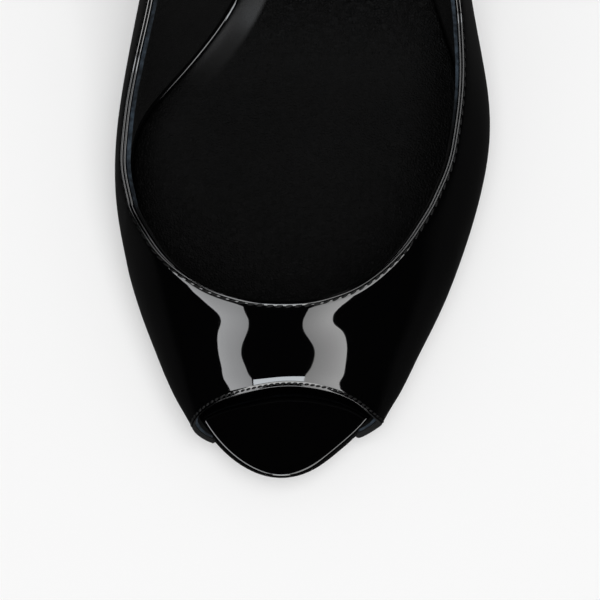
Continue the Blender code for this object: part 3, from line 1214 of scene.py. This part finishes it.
    def _profile(self, around: float, total: float) -> tuple[Array, Array]:
        """The closed profile of the shell across one rib, with two rolled edges at the topline.

        Args:
            around: share of the way round the ring.
            total: length of the rib.

        Returns:
            Distances from the topline and heights over the form's face, going round the profile.
        """
        turn = np.linspace(-math.pi / 2, math.pi / 2, self.roll_points)
        roll = self.fold_crown * (1 - np.cos(turn))
        top_run = np.concatenate([roll, roll[1:]])
        top_up = self.fold_half / 2 * np.concatenate([np.sin(turn) - 3, np.sin(turn[1:]) - 1])
        turn = np.linspace(-math.pi / 2, math.pi / 2, self.fold_points)
        low_run = total - self.low_fold_crown * (1 - np.cos(turn))
        low_up = self._low_half(around) * (-np.sin(turn) - 1)
        band = self._band()
        middle = np.linspace(self.edge_band, total - self.edge_band, self.middle_rows + 2)[1:-1]
        outer_run = np.concatenate([band, middle, total - band[::-1]])
        inner_run = np.linspace(total - self.edge_band, self.edge_band, self.middle_rows)
        run = np.concatenate([top_run, outer_run, low_run, inner_run])
        outer_up = self._outside(around, outer_run, total)
        inner_up = self._inside(around, inner_run, total)
        return run, np.concatenate([top_up, outer_up, low_up, inner_up])

    def _under_edge(self) -> Array:
        """Marks the profile's rows that lie under the lower edge, where the gloss ends.

        Returns:
            One value for each row, 1 under the edge.
        """
        rows = 2 * self.roll_points - 1 + 2 * self.band_rows + self.middle_rows
        turn = np.linspace(-math.pi / 2, math.pi / 2, self.fold_points)
        under = ease((turn - self.gloss_from) / self.gloss_fade)
        return np.concatenate([np.zeros(rows), under, np.ones(self.middle_rows), [0.0]])

    def _pulled(self, points: Array, shares: Array, outer: Array) -> Array:
        """How far the vamp's outer face is drawn in or out where its leather is pulled.

        Args:
            points: points on the form's face.
            shares: their shares from topline to lower edge.
            outer: 1 for rows on the outer face.

        Returns:
            Heights over the form's face.
        """
        middle = self.form.rib(0.0)(shares)
        across = points[:, 0] - middle[:, 0]
        pull = np.where(across < 0, self.pull_at[Side.INNER](shares), self.pull_at[Side.OUTER](shares))
        fade = 1 - ease(np.abs(across) / self.vamp_reach - self.vamp_full)
        return -0.5 * self.vamp_curve * pull * across**2 * fade * outer

    def _wrap(self, profile: Callable[[float, float], tuple[Array, Array]], pulled: bool) -> Array:
        """Carries a closed profile round the whole ring.

        Args:
            profile: gives distances and heights for a rib.
            pulled: whether the vamp's pulls are added.

        Returns:
            Places in metres, shaped (columns, rows, 3).
        """
        rings = []
        for column in range(self.columns):
            around = column / self.columns
            shares, distances = self.form.measure(around)
            run, up = profile(around, float(distances[-1]))
            at = np.interp(run, distances, shares)
            points, normals = self.form.strip(around, at)
            lift = self._dip(around, run, float(distances[-1]))
            if pulled and min(around, 1 - around) < self.form.rib_place(TOE_CORNER_RIB, Side.INNER):
                outer = ease((up - self.face_from) / self.face_fade)
                lift = lift + self._pulled(points, at, outer)
            rings.append(points + (up + lift)[:, None] * normals)
        return closed(self.placement.world(np.array(rings)), both=True)

    def shell(self) -> bpy.types.Object:
        """The patent leather, folded over at its edges.

        Returns:
            The piece.
        """
        points = self._wrap(self._profile, pulled=True)
        mask = np.tile(self._under_edge(), (points.shape[0], 1))
        piece = new_mesh("upper_patent", warped_grid(points, {"under_edge": mask}))
        piece.data.set_sharp_from_angle(angle=self.crease_angle)
        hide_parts("upper")
        return dress(piece, self.palette.patent)

    def _lining_profile(self, around: float, total: float) -> tuple[Array, Array]:
        """The closed profile of the lining across one rib: cut edge, inner face, cut edge, outer face.

        Args:
            around: share of the way round the ring.
            total: length of the rib.

        Returns:
            Distances from the topline and heights over the form's face, going round the profile.
        """
        bevel, start = self.lining_bevel, self.lining_drop
        drop = np.array([start + bevel, start, start, start + bevel])
        inner = np.linspace(start + 2 * bevel, total - start - 2 * bevel, self.middle_rows)
        run = np.concatenate([drop, inner, total - drop, inner[::-1]])
        outside = self._inside(around, run, total) - self.lining_gap
        fuller = (self.lining_thick - self.low_lining_thick) * (1 - ease(run / self.lining_run))
        slim = self.low_lining_thick + fuller
        edge = np.array([0.0, bevel, -bevel, 0.0])
        part = np.array([0.0, 0.0, 1.0, 1.0])
        thick = np.concatenate([part, np.ones(len(inner)), part[::-1], np.zeros(len(inner))]) * slim
        thick += np.concatenate([edge, np.zeros(len(inner)), edge[::-1], np.zeros(len(inner))])
        return run, outside - thick

    def lining(self) -> bpy.types.Object:
        """The lining, with its cut edge showing inside the fold; at the topline the pale edge colour fades
        out towards the throat as painted shade.

        Returns:
            The piece.
        """
        points = self._wrap(self._lining_profile, pulled=False)
        columns, rows = points.shape[:2]
        face = np.zeros(self.middle_rows)
        cut = np.ones((rows - 1) // 2 - self.middle_rows)
        mask = np.tile(np.concatenate([cut, face, cut, face, cut[:1]]), (columns, 1))
        # Painted shade: the topline's pale cut edge is faded out towards the throat, where it lies in
        # shade.
        mask[:, : rows // 2] *= self._throat_shade_fade(columns)[:, None]
        piece = new_mesh("upper_lining", warped_grid(points, {"cut_edge_throat_shade": mask}))
        return dress(piece, self.palette.lining)

    def _throat_shade_fade(self, columns: int) -> Array:
        """Fades the pale cut edge out towards the throat, as painted shade where the edge lies in shade.

        Args:
            columns: how many columns go round the ring.

        Returns:
            One value for each column, 1 behind the throat, falling to 0 where the shade is painted at the
            throat.
        """
        around = np.arange(columns) / (columns - 1)
        mask = np.ones(columns)
        for side, rib in THROAT_RIBS.items():
            start, end = (self.form.rib_place(each, side) for each in (rib, rib + 2))
            mask *= ease((around - start) / (end - start))
        return mask

    def _seam_path(self, edge: Edge, start: float, end: float, distance: float) -> tuple[Array, Array]:
        """Follows one edge on the shell's outer face.

        Args:
            edge: the edge.
            start: share of the way round where the path starts; may be below 0.
            end: share of the way round where it ends.
            distance: distance from the edge.

        Returns:
            Places on the last and the outward normals there.
        """
        places, ups = [], []
        for around in np.linspace(start, end, 1 + int(self.form.length * (end - start) / self.seam_step)):
            lap = around % 1.0
            shares, distances = self.form.measure(lap)
            total = float(distances[-1])
            run = distance if edge is Edge.TOPLINE else total - distance
            at = np.interp([run], distances, shares)
            points, normals = self.form.strip(lap, at)
            lift = self._outside(lap, np.array([run]), total)
            lift = lift + self._dip(lap, np.array([run]), total)
            if min(lap, 1 - lap) < self.form.rib_place(TOE_CORNER_RIB, Side.INNER):
                lift = lift + self._pulled(points, at, np.ones(1))
            places.append(points[0] + lift[0] * normals[0])
            ups.append(normals[0])
        return np.array(places), np.array(ups)

    def seam(
        self, name: str, edge: Edge, start: float, end: float, distance: float, stitch: Stitch
    ) -> bpy.types.Object:
        """A row of stitches along one edge.

        Args:
            name: name of the row.
            edge: the edge that it follows.
            start: share of the way round where it starts; may be below 0.
            end: share of the way round where it ends.
            distance: distance from the edge.
            stitch: the kind of stitch.

        Returns:
            The row as one piece.
        """
        path, facing = self._seam_path(edge, start, end, distance)
        runs = np.concatenate([[0.0], np.cumsum(np.linalg.norm(np.diff(path, axis=0), axis=1))])
        count = int(runs[-1] / stitch.pitch)
        hold = self.stitch_hold * stitch.length
        size = Matrix.Diagonal(
            (stitch.length / 2 * MM, stitch.width / 2 * MM, stitch.height / 2 * MM, 1.0)
        )
        shape = bmesh.new()
        for index in range(count):
            middle = (index + 0.5) * runs[-1] / count
            back, spot, front = (
                np.array([np.interp(middle + step, runs, path[:, axis]) for axis in range(3)])
                for step in (-hold, 0.0, hold)
            )
            normal = np.array([np.interp(middle, runs, facing[:, axis]) for axis in range(3)])
            up = Vector(normal).normalized()
            along = Matrix.Rotation(self.stitch_slant, 3, up) @ Vector(front - back).normalized()
            aside = up.cross(along).normalized()
            axes = Matrix((along, aside, along.cross(aside))).transposed().to_4x4()
            raised = spot + self.stitch_rise * stitch.height * normal
            place = Matrix.Translation(self.placement.world(raised))
            bmesh.ops.create_uvsphere(
                shape, u_segments=self.stitch_turns, v_segments=self.stitch_rings, radius=1.0,
                matrix=place @ axes @ size,
            )
        return dress(new_mesh(name, shape), self.palette.thread)

    def build(self) -> None:
        """Makes every piece of the upper."""
        self.shell()
        self.lining()
        self.seam("topline_stitches", Edge.TOPLINE, 0.0, 1.0, self.seam_in, self.edge_stitch)
        inner, outer = (self.form.rib_place(TOE_CORNER_RIB, side) for side in (Side.INNER, Side.OUTER))
        self.seam("toe_stitches", Edge.LOWER, outer - 1.0, inner, self.seam_low, self.toe_stitch)
        inner, outer = (self.form.rib_place(STRAP_START_RIB, side) for side in (Side.INNER, Side.OUTER))
        self.seam("strap_stitches", Edge.LOWER, inner, outer, self.seam_in, self.edge_stitch)


@dataclass
class SolePlan:
    """The outline of the insole in plan, and what lies on it."""

    last: Last
    points: int = 420
    hem_from: float = 4.0
    hem_to: float = 130.0
    hem_fade: float = 6.0
    upper_wall: float = 2.0
    insole_room: float = -0.5
    wall_steps: int = 25
    axis_inset: float = 9.0

    def __post_init__(self) -> None:
        """Walks the outline once, from the toe down the inner side and back along the outer side."""
        angles = np.linspace(0, 2 * math.pi, self.points, endpoint=False)
        self.along = self.last.length * (1 - np.cos(angles)) / 2
        self.outward = np.where(angles < math.pi, -1.0, 1.0)
        sides = [Side.INNER if outward < 0 else Side.OUTER for outward in self.outward]
        edges = [self.last.column(f"sole_{side.value}", along) for side, along in zip(sides, self.along)]
        self.free = self.outward * np.array(edges, float)
        self.walled = ease((self.along - self.hem_from) / self.hem_fade) * ease(
            (self.hem_to - self.along) / self.hem_fade
        )
        self.inside = [
            self._inside(along, side) if walled > 0 else None
            for along, side, walled in zip(self.along, sides, self.walled)
        ]
        plan = np.stack([self.outward * self.free, self.along], axis=1)
        tangent = np.roll(plan, -1, axis=0) - np.roll(plan, 1, axis=0)
        out = np.stack([-tangent[:, 1], tangent[:, 0]], axis=1)
        self.out = out / np.linalg.norm(out, axis=1)[:, None]
        middle_along = np.clip(self.along, self.axis_inset, self.last.length - self.axis_inset)
        inner, outer = (self.last.column(name, middle_along) for name in ("sole_in", "sole_out"))
        self.axis = np.stack([(inner + outer) / 2, middle_along], axis=1)

    def _inside(self, along: float, side: Side) -> tuple[Array, Array]:
        """The room inside the upper's wall at one place.

        Args:
            along: place along the last.
            side: side of the foot.

        Returns:
            Growing heights over the feather, and how far out the insole may reach there.
        """
        wall = self.last.wall(along, side)(np.linspace(1.0, 2.0, self.wall_steps))
        run = np.gradient(wall, axis=0)
        run /= np.linalg.norm(run, axis=1)[:, None]
        inward = side.outward * np.stack([run[:, 1], -run[:, 0]], axis=1)
        step = self.last.slope_step
        ahead, behind = (
            float(self.last.column(f"sole_{side.value}", along + shift)) for shift in (-step, step)
        )
        spread = math.hypot(1, (behind - ahead) / (2 * step))
        inside = wall + self.upper_wall * spread * inward
        return inside[::-1, 1], side.outward * inside[::-1, 0] - self.insole_room * spread

    def outline(self, up: Optional[float]) -> Array:
        """The outline in plan.

        Args:
            up: height over the feather at which the upper's wall holds it in, or None where it runs free.

        Returns:
            (across, along) of each point.
        """
        reach = self.free.copy()
        for index, inside in enumerate(self.inside):
            if up is not None and inside is not None:
                held = min(reach[index], float(np.interp(up, *inside)))
                reach[index] += self.walled[index] * (held - reach[index])
        return np.stack([self.outward * reach, self.along], axis=1)


@dataclass(frozen=True)
class SlabRow:
    """One ring of a sole piece: its inset from the outline, share of the way to the middle and height."""

    inset: float
    share: float
    height: float


@dataclass
class SolePiece:
    """A flat piece on the sole with rounded edges."""

    plan: SolePlan
    placement: Placement
    low: float
    high: float
    low_round: float
    high_round: float
    high_drop: float
    outer_skive: float = 1.0
    skive_from: float = 1.0
    skive_fade: float = 4.0
    skive_end: float = 25.0
    arc_points: int = 9
    fill_rows: int = 7
    rim_share: float = 0.012
    rubbed_share: float = 0.05

    def rows(self) -> list[SlabRow]:
        """Rings from the middle of the underside, round the edge, to the middle of the top.

        Returns:
            The rings in that order.
        """
        fills = np.append(np.linspace(1.0, 0.0, self.fill_rows, endpoint=False), self.rim_share)
        turns = np.linspace(0.0, math.pi / 2, self.arc_points)
        rows = [SlabRow(self.low_round, share, self.low) for share in fills]
        for turn in turns:
            inset, rise = 1 - math.sin(turn), 1 - math.cos(turn)
            rows.append(SlabRow(self.low_round * inset, 0.0, self.low + self.low_round * rise))
        for turn in turns:
            inset, fall = 1 - math.cos(turn), 1 - math.sin(turn)
            rows.append(SlabRow(self.high_round * inset, 0.0, self.high - self.high_drop * fall))
        return rows + [SlabRow(self.high_round, share, self.high) for share in fills[::-1]]

    def _inset(self, row: SlabRow) -> Array:
        """A ring's inset; the top edge's rounding can be skived tighter on the outer side.

        Args:
            row: the ring.

        Returns:
            One inset for each point of the outline.
        """
        along = self.plan.along
        outer = ease((along - self.skive_from) / self.skive_fade)
        outer = outer * ease((self.plan.last.length - along) / self.skive_end) * (self.plan.outward > 0)
        power = np.where(row.height > (self.low + self.high) / 2, 1 + (self.outer_skive - 1) * outer, 1.0)
        return self.high_round * (row.inset / self.high_round) ** power

    def shape(
        self, margin: Callable[[float, float], float], held: bool,
        rubbed: Optional[Callable[[float, float], float]] = None,
    ) -> bmesh.types.BMesh:
        """Builds the closed piece.

        Args:
            margin: how far it stands out past the sole's edge at a place along, inner side -1, outer +1.
            held: whether the upper's wall holds its edge in.
            rubbed: how smoothly its edge is rubbed there, kept on the vertices as a mask.

        Returns:
            The shape in metres.
        """
        last, out = self.plan.last, self.plan.out
        places = list(zip(self.plan.along, self.plan.outward))
        stand = np.array([margin(*place) for place in places])
        masks = None
        if rubbed:
            fade = 1 - ease(np.array([row.share for row in self.rows()]) / self.rubbed_share)
            masks = {"rubbed": closed(np.outer([rubbed(*place) for place in places], fade), both=False)}
        rings = []
        for row in self.rows():
            up = row.height - last.outsole - last.gap if held else None
            spots = self.plan.outline(up) + (stand - self._inset(row))[:, None] * out
            spots = spots + row.share * (self.plan.axis - spots)
            rings.append(np.column_stack([spots, last.layer(spots[:, 1], row.height)]))
        points = closed(np.array(rings).transpose(1, 0, 2), both=False)
        return warped_grid(self.placement.world(points), masks)

    def cut(self, shape: bmesh.types.BMesh, along: float, keep_front: bool) -> bmesh.types.BMesh:
        """Cuts a shape straight across and closes the cut.

        Args:
            shape: the shape to cut.
            along: place of the cut.
            keep_front: whether the toe's side is kept.

        Returns:
            The same shape.
        """
        spot = self.placement.world(np.array([0.0, along, 0.0]))
        parts = [*shape.verts, *shape.edges, *shape.faces]
        bmesh.ops.bisect_plane(
            shape, geom=parts, dist=TINY, plane_co=spot, plane_no=(0.0, 1.0, 0.0),
            clear_outer=keep_front, clear_inner=not keep_front,
        )
        close_holes(shape)
        return shape


@dataclass
class Soles:
    """Insole with its patent toe cover, sock and outsole."""

    plan: SolePlan
    placement: Placement
    palette: Palette
    cover_end: float = 33.0
    cover_gap: float = 0.05
    waist_reach: float = 1.0
    waist_from: float = 60.0
    waist_to: float = 134.0
    waist_fade: float = 16.0
    sock_start: float = 27.0
    sock_thick: float = 0.9
    sock_inset: float = 0.4
    sock_over: float = 0.15
    sock_over_end: float = 25.0
    sock_roll: float = 5.0
    sock_drop: float = 0.8
    sock_skive: float = 3.0
    sock_round: float = 0.1
    sock_rows: int = 14
    sock_lift: float = 0.03
    rubbed_from: float = 89.0
    rubbed_fade: float = 13.0
    rubbed_to: float = 150.0
    rubbed_end: float = 30.0
    insole_round: float = 0.7
    toe_round: float = 1.2
    toe_drop: float = 2.2
    toe_skive: float = 0.65
    outsole_margin: float = 0.5
    toe_tuck: float = 0.9
    toe_tuck_run: float = 20.0
    waist_tuck: float = 1.6
    tread_round: float = 0.9
    outsole_round: float = 0.3

    def _insole(self) -> SolePiece:
        """The insole board's form.

        Returns:
            The form, between the outsole and the sock.
        """
        last = self.plan.last
        low = last.outsole + last.gap
        return SolePiece(
            self.plan, self.placement, low, low + last.insole, low_round=self.insole_round,
            high_round=self.toe_round, high_drop=self.toe_drop, outer_skive=self.toe_skive,
        )

    def _insole_margin(self, along: float, outward: float) -> float:
        """How far the insole reaches under the upper's lining at the waist's inner side.

        Args:
            along: place along the last.
            outward: -1 on the inner side, +1 on the outer side.

        Returns:
            The reach past the insole's plain outline.
        """
        waist = ease((along - self.waist_from) / self.waist_fade)
        waist = waist * ease((self.waist_to - along) / self.waist_fade)
        return self.waist_reach * float(waist) * (outward < 0)

    def toe_cover(self) -> bpy.types.Object:
        """The front of the insole, wrapped in patent.

        Returns:
            The piece.
        """
        form = self._insole()
        shape = form.cut(form.shape(self._insole_margin, held=True), self.cover_end, keep_front=True)
        return dress(new_mesh("insole_toe_cover", shape), self.palette.patent)

    def insole(self) -> bpy.types.Object:
        """The rest of the insole board, its edge wrapped in patent too.

        Returns:
            The piece.
        """
        form = self._insole()
        shape = form.shape(self._insole_margin, held=True)
        shape = form.cut(shape, self.cover_end + self.cover_gap, keep_front=False)
        piece = new_mesh("insole_board", shape)
        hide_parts("insole")
        return dress(piece, self.palette.patent)

    def sock(self) -> bpy.types.Object:
        """The leather sock that lies on the insole.

        Returns:
            The piece.
        """
        last = self.plan.last
        low = last.outsole + last.gap + last.insole + self.sock_lift
        form = SolePiece(
            self.plan, self.placement, low, low + self.sock_thick, low_round=self.sock_round,
            high_round=self.sock_roll, high_drop=self.sock_drop, outer_skive=self.sock_skive,
            fill_rows=self.sock_rows,
        )
        shape = form.shape(self._sock_margin, held=True, rubbed=self._sock_rubbed)
        shape = form.cut(shape, self.sock_start, keep_front=False)
        return dress(new_mesh("insole_sock", shape), self.palette.sock)

    def _sock_margin(self, along: float, outward: float) -> float:
        """How far the sock stands out past the insole's edge: short of it inside, over it outside."""
        back = float(ease((self.plan.last.length - along) / self.sock_over_end))
        return -self.sock_inset + (self.sock_inset + self.sock_over) * back * (outward > 0)

    def _sock_rubbed(self, along: float, outward: float) -> float:
        """How smoothly the sock's edge is rubbed: only at the inner side, from the waist back."""
        rubbed = ease((along - self.rubbed_from) / self.rubbed_fade)
        return float(rubbed * ease((self.rubbed_to - along) / self.rubbed_end)) * (outward < 0)

    def _outsole_margin(self, along: float, outward: float) -> float:
        """How far the outsole stands out past the insole's edge, on both sides alike.

        Args:
            along: place along the last.
            outward: -1 on the inner side, +1 on the outer side.

        Returns:
            The margin, below 0 where the outsole is tucked under.
        """
        last = self.plan.last
        waist = float(ease((along - last.tread_back) / last.shank_run))
        waist *= float(ease((last.breast_at - along) / last.seat_run))
        tuck = self.toe_tuck * (1 - float(ease(along / self.toe_tuck_run)))
        return self.outsole_margin - tuck - (self.outsole_margin + self.waist_tuck) * waist

    def outsole(self) -> bpy.types.Object:
        """The outsole, from the toe to the heel's breast.

        Returns:
            The piece.
        """
        last = self.plan.last
        form = SolePiece(
            self.plan, self.placement, 0.0, last.outsole, low_round=self.tread_round,
            high_round=self.outsole_round, high_drop=self.outsole_round,
        )
        shape = form.shape(self._outsole_margin, held=False)
        shape = form.cut(shape, last.breast_at - last.gap, keep_front=True)
        piece = new_mesh("sole_leather_piece", shape)
        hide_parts("outsole")
        return dress(piece, self.palette.outsole)

    def build(self) -> None:
        """Makes every piece of the soles."""
        self.toe_cover()
        self.insole()
        self.sock()
        self.outsole()


@dataclass
class Heel:
    """The covered heel and its top piece."""

    last: Last
    placement: Placement
    palette: Palette
    breast_square: float = 0.06
    tip_at: float = 206.0
    tip_length: float = 11.0
    tip_width: float = 10.0
    tip_front: float = 0.85
    inset: float = 0.4
    flare: float = 3.4
    taper: float = 0.10
    band: float = 3.4
    top_piece: float = 5.0
    rings: int = 60
    corners: int = 136
    bevel: float = 0.5
    cover_crease: float = math.radians(55)
    lift_crease: float = math.radians(40)

    def _seat(self, angle: float) -> tuple[float, float]:
        """A point on the seat's outline: the insole's rear, closed by the breast.

        Args:
            angle: 0 at the rear, growing towards the outer side.

        Returns:
            (across, along) of the point.
        """
        reach = (self.last.length - self.inset - self.last.breast_at) / 2
        along = self.last.breast_at + reach + reach * math.cos(angle)
        side = Side.OUTER if math.sin(angle) >= 0 else Side.INNER
        edges = {each: float(self.last.column(f"sole_{each.value}", along)) for each in Side}
        middle = sum(edges.values()) / 2
        edge = edges[side] - side.outward * self.inset
        spread = abs(math.sin(angle)) ** self.breast_square if math.cos(angle) < 0 else 1.0
        return middle + (edge - middle) * spread, along

    def _tip(self, angle: float) -> tuple[float, float]:
        """A point on the outline of the heel's tip.

        Args:
            angle: 0 at the rear, growing towards the outer side.

        Returns:
            (across, along) of the point.
        """
        front = 1.0 if math.cos(angle) > 0 else self.tip_front
        return (
            self.placement.tip_across + self.tip_width / 2 * math.sin(angle),
            self.tip_at + self.tip_length / 2 * math.cos(angle) * front,
        )

    def cover(self) -> bpy.types.Object:
        """The heel in its patent cover.

        Returns:
            The piece.
        """
        foot = self.top_piece + self.last.gap
        columns = []
        for angle in np.linspace(0, 2 * math.pi, self.corners, endpoint=False):
            tip, seat = np.array(self._tip(angle)), np.array(self._seat(angle))
            top = float(self.last.layer(seat[1], self.last.outsole))
            height = np.linspace(0, 1, self.rings + 1)
            rise = np.minimum(height * (top - foot) / (top - foot - self.band), 1.0)
            spread = self.taper * rise + (1 - self.taper) * rise**self.flare
            spots = tip + spread[:, None] * (seat - tip)
            columns.append(np.column_stack([spots, foot + height * (top - foot)]))
        shape = warped_grid(self.placement.world(closed(np.array(columns), both=False)))
        close_holes(shape)
        piece = new_mesh("heel_cover", shape)
        piece.data.set_sharp_from_angle(angle=self.cover_crease)
        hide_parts("heel")
        return dress(piece, self.palette.heel_patent)

    def lift(self) -> bpy.types.Object:
        """The rubber top piece under the tip.

        Returns:
            The piece.
        """
        shape = bmesh.new()
        bmesh.ops.create_circle(shape, cap_ends=True, segments=self.corners // 2, radius=1.0)
        for vertex in shape.verts:
            angle = math.atan2(vertex.co.x, vertex.co.y)
            vertex.co = self.placement.world(np.array([*self._tip(angle), 0.0]))
        raised = bmesh.ops.extrude_face_region(shape, geom=list(shape.faces))
        corners = [part for part in raised["geom"] if isinstance(part, bmesh.types.BMVert)]
        bmesh.ops.translate(shape, verts=corners, vec=(0.0, 0.0, self.top_piece * MM))
        bmesh.ops.recalc_face_normals(shape, faces=shape.faces)
        rims = [edge for edge in shape.edges if abs(edge.verts[0].co.z - edge.verts[1].co.z) < TINY]
        bmesh.ops.bevel(
            shape, geom=rims, offset=self.bevel * MM, offset_type="OFFSET", affect="EDGES", segments=3,
            profile=0.5, material=-1, clamp_overlap=True,
        )
        piece = new_mesh("heel_top_lift", shape)
        piece.data.set_sharp_from_angle(angle=self.lift_crease)
        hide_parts("heel_top_piece")
        return dress(piece, self.palette.rubber)

    def build(self) -> None:
        """Makes the heel's pieces."""
        self.cover()
        self.lift()


@dataclass(frozen=True)
class Panel:
    """A soft box: where it hangs, where it faces, its size in metres and how bright its face is.

    The fade gives the shares of that brightness at the face's -X and +X edges.
    """

    name: str
    spot: tuple[float, float, float]
    aim: tuple[float, float, float]
    size: tuple[float, float]
    glow: float
    rays: RayKind
    colour: Colour = (1.0, 1.0, 1.0)
    fade: tuple[float, float] = (1.0, 1.0)


PANELS: tuple[Panel, ...] = (
    Panel("overhead", (0.24, 0.05, 2.6), (0.0, 0.0, 0.0), (2.0, 2.0), 4.0, RayKind.SOFT_ONLY),
    Panel(
        "strip_inner", (-0.45, -0.70, 1.0), (-0.45, -0.70, 0.0), (0.36, 2.5), 3.95, RayKind.GLOSS_ONLY,
        colour=(0.97, 0.98, 1.0), fade=(1.0, 0.72),
    ),
    Panel(
        "strip_outer", (0.385, -0.70, 1.0), (0.385, -0.70, 0.0), (0.43, 2.5), 3.85, RayKind.GLOSS_ONLY,
        fade=(0.60, 1.0),
    ),
    Panel("low_front", (0.0, -2.1, 0.62), (0.0, -0.1, 0.62), (0.70, 0.95), 4.6, RayKind.GLOSS_ONLY),
    Panel(
        "front", (0.0, -1.42, 1.0), (0.0, -1.42, 0.0), (0.50, 0.56), 6.4, RayKind.GLOSS_ONLY,
        colour=(0.90, 0.95, 1.0),
    ),
)


@dataclass
class Studio:
    """Floor, soft light and the camera at the photo's angle."""

    placement: Placement
    palette: Palette
    floor_half: float = 8.0
    floor_squares: int = 8
    camera_height: float = 1.1
    sharp_height: float = 0.015
    pixels_per_mm: float = 4.5
    centre_along: float = 39.78
    sensor: float = 36.0
    clip: tuple[float, float] = (0.01, 50.0)
    backdrop: float = 0.9
    upper_glow: float = 0.004
    lower_glow: float = 0.02
    rear_glow: float = 1.6
    rear_focus: float = 4.0
    horizon_low: float = -0.15
    horizon_high: float = 0.1
    fill: float = 0.49

    def floor(self) -> None:
        """The pale floor, which the gloss of the leather leaves out."""
        shape = bmesh.new()
        squares = self.floor_squares
        bmesh.ops.create_grid(shape, x_segments=squares, y_segments=squares, size=self.floor_half)
        piece = new_mesh("studio_floor", shape)
        piece.data.materials.append(self.palette.floor)
        piece.visible_glossy = False

    def panel(self, panel: Panel) -> None:
        """Hangs one soft box.

        Args:
            panel: the soft box.
        """
        data = bpy.data.lights.new(panel.name, "AREA")
        data.shape = "RECTANGLE"
        data.size, data.size_y = panel.size
        data.energy = panel.glow * math.pi * panel.size[0] * panel.size[1]
        data.color = panel.colour
        self._grade(data, panel.fade)
        lamp = bpy.data.objects.new(panel.name, data)
        bpy.context.scene.collection.objects.link(lamp)
        lamp.location = panel.spot
        facing = Vector(panel.aim) - Vector(panel.spot)
        lamp.rotation_euler = facing.to_track_quat("-Z", "Y").to_euler()
        lamp.visible_camera = False
        lamp.visible_glossy = panel.rays is RayKind.GLOSS_ONLY
        lamp.visible_diffuse = panel.rays is RayKind.SOFT_ONLY

    @staticmethod
    def _grade(data: bpy.types.AreaLight, fade: tuple[float, float]) -> None:
        """Grades a soft box's brightness across its face.

        Args:
            data: the lamp.
            fade: shares of its brightness at the face's -X and +X edges.
        """
        data.use_nodes = True
        nodes, links = data.node_tree.nodes, data.node_tree.links
        parts = nodes.new("ShaderNodeSeparateXYZ")
        links.new(nodes.new("ShaderNodeNewGeometry").outputs["Parametric"], parts.inputs["Vector"])
        share = map_range(data.node_tree, parts.outputs["X"], To_Min=fade[0], To_Max=fade[1])
        links.new(share, nodes["Emission"].inputs["Strength"])

    def _by_height(self, tree: bpy.types.NodeTree, height: Socket, lower: float, upper: float) -> Socket:
        """A strength that changes from below the horizon to above it.

        Args:
            tree: the world's tree.
            height: height of the direction that is looked in.
            lower: strength below the horizon.
            upper: strength above it.

        Returns:
            The strength.
        """
        horizon = {"From_Min": self.horizon_low, "From_Max": self.horizon_high}
        return map_range(tree, height, **horizon, To_Min=lower, To_Max=upper)

    @staticmethod
    def _unless(tree: bpy.types.NodeTree, rays: Socket, usual: Socket, other: float) -> Socket:
        """A strength that is another one for some rays.

        Args:
            tree: the world's tree.
            rays: 1 for those rays.
            usual: strength for all others.
            other: strength for those rays.

        Returns:
            The strength.
        """
        node = tree.nodes.new("ShaderNodeMix")
        tree.links.new(rays, node.inputs["Factor"])
        tree.links.new(usual, node.inputs["A"])
        node.inputs["B"].default_value = other
        return node.outputs["Result"]

    def world(self) -> None:
        """A room that fills the shadows but is dim in the gloss, behind a pale backdrop."""
        world = bpy.data.worlds.new("dim_room")
        world.use_nodes = True
        tree = world.node_tree
        ground = tree.nodes["Background"]
        parts = tree.nodes.new("ShaderNodeSeparateXYZ")
        place = tree.nodes.new("ShaderNodeTexCoord")
        tree.links.new(place.outputs["Generated"], parts.inputs["Vector"])
        height = parts.outputs["Z"]
        behind = arithmetic(tree, "MAXIMUM", parts.outputs["Y"], 0.0)
        focused = arithmetic(tree, "POWER", behind, self.rear_focus)
        rear = arithmetic(tree, "MULTIPLY", focused, self._by_height(tree, height, self.rear_glow, 0.0))
        gloss = arithmetic(
            tree, "ADD", self._by_height(tree, height, self.lower_glow, self.upper_glow), rear
        )
        path = tree.nodes.new("ShaderNodeLightPath")
        soft = self._unless(tree, path.outputs["Is Diffuse Ray"], gloss, self.fill)
        seen = self._unless(tree, path.outputs["Is Camera Ray"], soft, self.backdrop)
        tree.links.new(seen, ground.inputs["Strength"])
        ground.inputs["Color"].default_value = (1.0, 1.0, 1.0, 1.0)
        bpy.context.scene.world = world

    def camera(self) -> None:
        """Looks straight down on the front half, with the toe at the bottom of the picture."""
        data = bpy.data.cameras.new("photo_camera")
        data.sensor_width = self.sensor
        width = PHOTO_PIXELS / self.pixels_per_mm * MM
        data.lens = self.sensor * (self.camera_height - self.sharp_height) / width
        camera = bpy.data.objects.new("photo_camera", data)
        bpy.context.scene.collection.objects.link(camera)
        spot = self.placement.world(np.array([0.0, self.centre_along, 0.0]))
        camera.location = (spot[0], spot[1], self.camera_height)
        data.clip_start, data.clip_end = self.clip
        bpy.context.scene.camera = camera

    def build(self) -> None:
        """Sets up the studio."""
        self.floor()
        for panel in PANELS:
            self.panel(panel)
        self.world()
        self.camera()
        bpy.context.scene.view_settings.view_transform = "Standard"


def main() -> None:
    """Builds the shoe piece by piece, then the studio."""
    logging.basicConfig(level=logging.INFO, format="%(name)s: %(message)s")
    last = Last()
    placement = Placement()
    palette = Palette()
    Upper(UpperForm(last), placement, palette).build()
    Soles(SolePlan(last), placement, palette).build()
    Heel(last, placement, palette).build()
    Studio(placement, palette).build()


if __name__ == "__main__":
    main()
